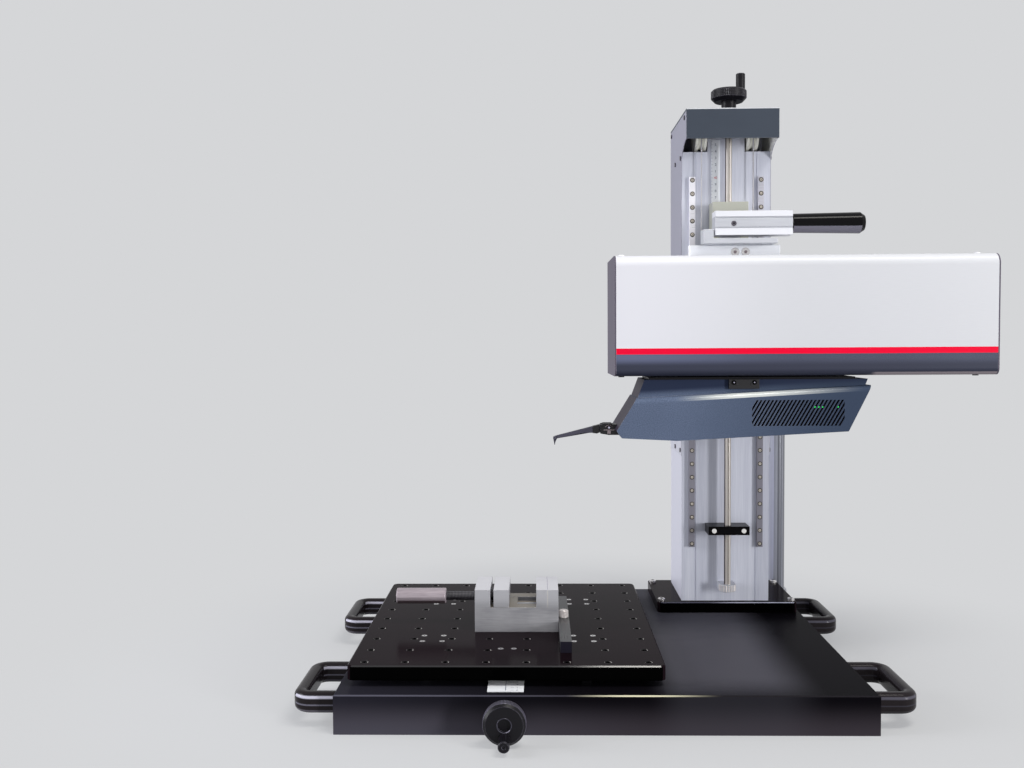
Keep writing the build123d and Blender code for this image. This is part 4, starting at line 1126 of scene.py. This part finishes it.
# %% Spring clip, recess and the shade sheet behind the vents
fork_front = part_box("stylus_fork")[0].y
pin_x = 19.2 * mm
pin_end = (pin_x, fork_front, 349.5 * mm)
clip = [fitting([(1.5, 0.0), (1.5, 0.25), (1.2, 0.4)], 14, pin_end, "bare_edge")]
for width, height, level in ((14.6, 1.1, 346.4), (4.6, 4.4, 343.4)):
    bar = flat_box("bar", width * mm, height * mm, 0.9 * mm)
    put(bar, (pin_x, fork_front + 0.7 * mm, level * mm), stand=True)
    clip.append(dress(bar, "clip_steel"))
hoop = glint("hoop", 4.4 * mm, 1.2 * mm, 0.6 * mm, 25, 155, 8)
put(hoop, (pin_x, fork_front + 0.6 * mm, 348.0 * mm), stand=True)
clip.append(dress(hoop, "clip_steel"))
seat(joined("fork_clip", clip), "probe")

recess_radius = 7.9 * mm
recess_width = 1.0 * mm
recess_rise = 0.16 * mm
recess_outer = recess_radius + recess_width
recess_profile = [
    (recess_radius, 0.0), (recess_outer, 0.0), (recess_outer - recess_rise, recess_rise),
    (recess_outer - 2 * recess_rise, recess_rise),
]
# Painted highlight: the short bright arc at the lower right of the recess's edge.
recess_parts = [
    dress(turned("recess", recess_profile, 40, looped=True), "recess_rim"),
    dress(glint("recess_glint", recess_radius, recess_width, 0.3 * mm, -78, -38, 8), "bare_edge"),
]
for part in recess_parts:
    put(part, (feed_axis_x, feed_front, feed_axis_z), stand=True)
seat(joined("recess_edge", recess_parts), "feed_screw")

probe_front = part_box("probe_housing")[0].y
# Painted shade: a dark sheet behind the probe's slots, where there is only shade.
vent_shade = flat_box("dust_mat", 122 * mm, 34.4 * mm, 0.3 * mm)
put(vent_shade, (267 * mm, probe_front + 3.9 * mm, 371.2 * mm), stand=True)
seat(dress(vent_shade, "vent_dark"), "probe")

# %% [markdown]
# From the front the stylus arm is a flat blade that gets higher towards its root, and a dark
# sleeve holds it there. Both are drawn as outlines of X and Z, with half a thickness at every
# point, and ride with the stylus. The vice shows a thin bright line where its fixed jaw plate
# meets the body, a painted highlight along the seam.


# %% Blade, sleeve and seam
def slab(name, depth, outline, finish_name):
    """A flat piece round a middle depth, from (x, z, half thickness) points in mm."""
    sides = [
        [(x * mm, (depth + side * half) * mm, z * mm) for x, z, half in outline] for side in (-1, 1)
    ]
    return dress(skinned(name, sides), finish_name)


arm_depth = -50
blade_outline = [
    (-52, 338.4, 2.3), (-50, 334.6, 2.34), (-32, 338.2, 2.7), (-15, 341.6, 3.05), (-2.6, 341.8, 3.3),
    (-2.6, 350.9, 3.3), (-15, 347.7, 3.05),
]
nose_outline = [(-57, 336.9, 2.2), (-51, 335.6, 2.2), (-54.3, 328.6, 1.0), (-55.7, 328.6, 1.0)]
sleeve_outline = [
    (-2.5, 341.6, 5.5), (3, 340.9, 5.5), (6.6, 342.4, 5.5), (6.6, 353.2, 5.5), (-2.5, 351, 5.5),
]
cheek_outline = [
    (7.6, 350.4, 3.6), (23.4, 354.1, 3.6), (23.4, 355.2, 3.6), (12.3, 355.2, 3.6), (7.6, 353.6, 3.6),
]
blade = [
    slab("blade", arm_depth, blade_outline, "stylus_slate"),
    slab("nose", arm_depth, nose_outline, "stylus_slate"),
]
seat(joined("arm_blade", blade), "stylus")
seat(slab("arm_sleeve", arm_depth, sleeve_outline, "black_plastic"), "stylus")
cheek_reach = 8.2
cheeks = [
    slab("cheek", arm_depth + side * cheek_reach, cheek_outline, "black_plastic") for side in (-1, 1)
]
seat(joined("fork_cheeks", cheeks), "probe")

vice_low, vice_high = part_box("vice_body")
seam_x = -66.1 * mm
seam_width = 0.7 * mm
seam_rise = 0.12 * mm
# Painted highlight: a thin bright line along the vice's seam, on its top and front.
seam_top = flat_box("seam_top", seam_width, vice_high.y - vice_low.y - 2 * mm, seam_rise)
put(seam_top, (seam_x, middle(vice_low, vice_high).y, vice_high.z))
seam_front = flat_box("seam_front", seam_width, 23 * mm, seam_rise)
put(seam_front, (seam_x, vice_low.y, 119.5 * mm), stand=True)
seams = [dress(seam_top, "bare_edge"), dress(seam_front, "rim_bright")]
seat(joined("vice_seam", seams), "table")

# %% [markdown]
# Two steel ropes run from the carriage up over the pulleys, and down again to the counterweight
# behind. When the carriage goes up, the front ropes get shorter and the back ones longer. Each
# pair is made here as one mesh of twisted strands, in place of the part's plain ropes.


# %% Ropes
strands = 6
strand_lay = 14 * mm
strand_groove = 0.8


def twisted_rope(spot, low, high, radius):
    """Six strands twisted about an upright line, as one closed skin."""
    steps = round((high - low) / (2.5 * mm))
    rings = []
    for step in range(steps + 1):
        level = low + (high - low) * step / steps
        ring = []
        for corner in range(2 * strands):
            angle = math.pi * corner / strands + 2 * math.pi * level / strand_lay
            reach = radius * (strand_groove if corner % 2 else 1.0)
            ring.append((spot[0] + reach * math.cos(angle), spot[1] + reach * math.sin(angle), level))
        rings.append(ring)
    return dress(skinned("rope", rings), "wire_rope")


for node, hanging in (("front_ropes", "carriage"), ("back_ropes", "counterweight")):
    rope_low, rope_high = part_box(node)
    rope_y = (rope_low.y + rope_high.y) / 2
    rope_radius = (rope_high.y - rope_low.y) / 2
    pair = [
        twisted_rope((rope_x, rope_y), rope_low.z, rope_high.z, rope_radius)
        for rope_x in (rope_low.x + rope_radius, rope_high.x - rope_radius)
    ]
    ropes = joined(node + "_strands", pair)
    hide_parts(node)
    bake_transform(ropes)
    print(ropes.name, "from", round(rope_low.z, 3), "to", round(rope_high.z, 3))

# %% [markdown]
# Both scales are plain ones. The tall scale on the column is a tape with a mark every five
# millimetres and a number for every centimetre. Full tens are red, and the rest show their last
# digit only. The small scale at the front has a line in its middle with a few marks. Numbers are
# text objects turned into meshes before they are placed.


# %% Marks and numbers of the column's scale
mark_rise = 0.05 * mm


def number_mesh(text, size, spot, finish_name, stand):
    """A number as a thin mesh, centred at a place."""
    curve = bpy.data.curves.new("number", "FONT")
    curve.body = text
    curve.size = size
    curve.align_x = "CENTER"
    curve.align_y = "CENTER"
    curve.extrude = 0.03 * mm
    curve.resolution_u = 2
    holder = new_piece("text", curve)
    bpy.context.view_layer.update()
    seen = holder.evaluated_get(bpy.context.evaluated_depsgraph_get())
    mesh = bpy.data.meshes.new_from_object(seen)
    bpy.data.objects.remove(holder)
    return dress(put(new_piece("number", mesh), spot, stand), finish_name)


def ticks(length, width, count, step):
    """A row of equal marks along Y, centred on the origin."""
    return grown(
        "marks", copy_grid, flat_box("tick", length, width, mark_rise), "mark_ink",
        Columns=1, Rows=count, Width=0.0, Depth=(count - 1) * step,
    )


scale_low, scale_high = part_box("column_scale")
scale_face = scale_low.y
centimetre = 10 * mm
centimetres = 38
first_centimetre = 8
first_level = scale_low.z + 3 * mm
column_parts = []
for length, step in ((2.4 * mm, centimetre), (1.4 * mm, centimetre / 2)):
    count = int((scale_high.z - scale_low.z) / step)
    spot = (scale_low.x + length / 2, scale_face, first_level + (count - 1) * step / 2)
    column_parts.append(put(ticks(length, 0.3 * mm, count, step), spot, stand=True))
for number in range(centimetres):
    reading = number + first_centimetre
    full_ten = reading % 10 == 0
    ink = "mark_red" if full_ten else "mark_ink"
    label = str(reading if full_ten else reading % 10)
    spot = (scale_high.x - 6.6 * mm, scale_face, first_level + number * centimetre)
    column_parts.append(number_mesh(label, 5.4 * mm, spot, ink, stand=True))
seat(joined("column_marks", column_parts), "stand")

# %% Marks and numbers of the feed scale
plate_low, plate_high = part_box("feed_scale")
plate_middle = middle(plate_low, plate_high)
feed_marks = 5
line = flat_box("centre_line", 0.7 * mm, plate_high.y - plate_low.y - 6 * mm, mark_rise)
put(dress(line, "mark_ink"), (plate_middle.x, plate_middle.y, plate_high.z))
marks = ticks(4 * mm, 0.4 * mm, feed_marks, centimetre)
put(marks, (plate_middle.x + 8 * mm, plate_middle.y, plate_high.z))
plate_parts = [line, marks]
for number in range(feed_marks):
    spot = (plate_middle.x + 14 * mm, plate_low.y + 4 * mm + number * centimetre, plate_high.z)
    plate_parts.append(number_mesh(str(number), 5 * mm, spot, "mark_ink", stand=False))
seat(joined("feed_marks", plate_parts), "stand")

# %% [markdown]
# The room: a pale floor and a pale world, so that glossy pieces mirror the same backdrop that
# the camera sees. The floor is plain and even far away, and only near the instrument does it
# take the light and the soft shadow. A mask on the distance from the middle blends the two.


# %% Floor and world
backdrop = shade(213, 214, 216)
floor_tone = shade(212, 213, 215)
bounce = shade(110, 111, 116)


def seen_directly(tree):
    """A mask that is 1 for rays from the camera, from mirrors and through glass."""
    path = add(tree, "ShaderNodeLightPath").outputs
    mask = path["Is Camera Ray"]
    for name in ("Is Glossy Ray", "Is Transmission Ray"):
        mask = calculate(tree, "MAXIMUM", mask, path[name])
    return mask


def mixed_output(tree, kind, factor, first, second):
    """End a tree with two shaders that are mixed by a factor."""
    mix = add(tree, "ShaderNodeMixShader", {0: factor, 1: first.outputs[0], 2: second.outputs[0]})
    add(tree, kind, {"Surface": mix.outputs[0]})


def emptied(data):
    """The node tree of a material or a world, with no nodes in it yet."""
    data.use_nodes = True
    data.node_tree.nodes.clear()
    return data.node_tree


floor = turned("floor", [(9.0, -2 * mm), (9.0, 0.0)], 64)
floor_paint = bpy.data.materials.new("floor")
tree = emptied(floor_paint)
seen = seen_directly(tree)
near = add(tree, "ShaderNodeBsdfDiffuse", {"Color": mix_colour(tree, seen, bounce, floor_tone)})
far = add(tree, "ShaderNodeEmission", {"Color": mix_colour(tree, seen, bounce, backdrop)})
distance = add(tree, "ShaderNodeVectorMath", {0: own_place(tree)}, operation="LENGTH")
fade = add(tree, "ShaderNodeMapRange", {
    "Value": distance.outputs["Value"], "From Min": 0.4, "From Max": 0.85, "To Min": 0.5,
}, interpolation_type="SMOOTHSTEP")
mixed_output(tree, "ShaderNodeOutputMaterial", fade.outputs[0], near, far)
floor.data.materials.append(floor_paint)

world = bpy.data.worlds.new("studio")
bpy.context.scene.world = world
tree = emptied(world)
lit = add(tree, "ShaderNodeBackground", {"Color": (0.93, 0.95, 1.0, 1.0), "Strength": 0.42})
shown = add(tree, "ShaderNodeBackground", {"Color": backdrop})
mixed_output(tree, "ShaderNodeOutputWorld", seen_directly(tree), lit, shown)
print("floor and world are ready")

# %% [markdown]
# Four soft lamps. The key stands to the right and in front, because the rails throw their
# shadow to the left. A long lamp above draws the bright line along the drive unit's rounded edge
# and the probe's ridge. A weak lamp on the left keeps that side open, and a low one in front
# lights what faces down, such as the pulleys under the cap.


# %% Lamps
def soft_lamp(name, spot, aim, size, power, tint=(1.0, 1.0, 1.0)):
    """A rectangular lamp at a spot, pointing at an aim."""
    light = bpy.data.lights.new(name, "AREA")
    light.shape = "RECTANGLE"
    light.size, light.size_y = size
    light.energy = power
    light.color = tint
    lamp_object = new_piece(name, light)
    lamp_object.location = spot
    heading = Vector(aim) - Vector(spot)
    lamp_object.rotation_euler = heading.to_track_quat("-Z", "Y").to_euler()
    print(name, "lamp of", power, "W")


soft_lamp("key", (4.0, -3.75, 0.62), (0.15, 0.0, 0.4), (0.7, 1.9), 189)
soft_lamp("top", (0.68, -0.85, 2.2), (0.3, -0.1, 0.3), (1.25, 0.4), 21, (1.0, 0.98, 0.92))
soft_lamp("left", (-2.3, -0.35, 0.8), (0.1, 0.0, 0.4), (1.0, 1.4), 42, (0.95, 0.96, 1.0))
soft_lamp("low", (-0.1, -2.5, 0.12), (0.25, 0.0, 0.75), (1.6, 0.2), 3.5)

# %% [markdown]
# The camera stands a metre and a half in front, a little to the left of the middle and about as
# high as the drive unit, and looks slightly down. Its lens has the width of the photograph's
# frame, and its turn is built from the three angles in turn.

# %% Camera
camera_data = bpy.data.cameras.new("camera")
camera_data.sensor_width = 36.0
camera_data.lens = 36.78
camera_place = Vector((-80.76, -1491.7, 472.1)) * mm
yaw = 0.0227
pitch = -0.0434
roll = -0.0060
forward = Vector((
    -math.sin(yaw) * math.cos(pitch), math.cos(yaw) * math.cos(pitch), math.sin(pitch),
))
level_right = Vector((math.cos(yaw), math.sin(yaw), 0.0))
level_up = level_right.cross(forward)
camera_right = level_right * math.cos(roll) + level_up * math.sin(roll)
camera_up = -level_right * math.sin(roll) + level_up * math.cos(roll)
turn = Matrix((camera_right, camera_up, -forward)).transposed().to_4x4()
camera = new_piece("camera", camera_data)
camera.matrix_world = Matrix.Translation(camera_place) @ turn
bpy.context.scene.camera = camera
bpy.context.scene.view_settings.view_transform = "Standard"
print("camera at", camera_place)
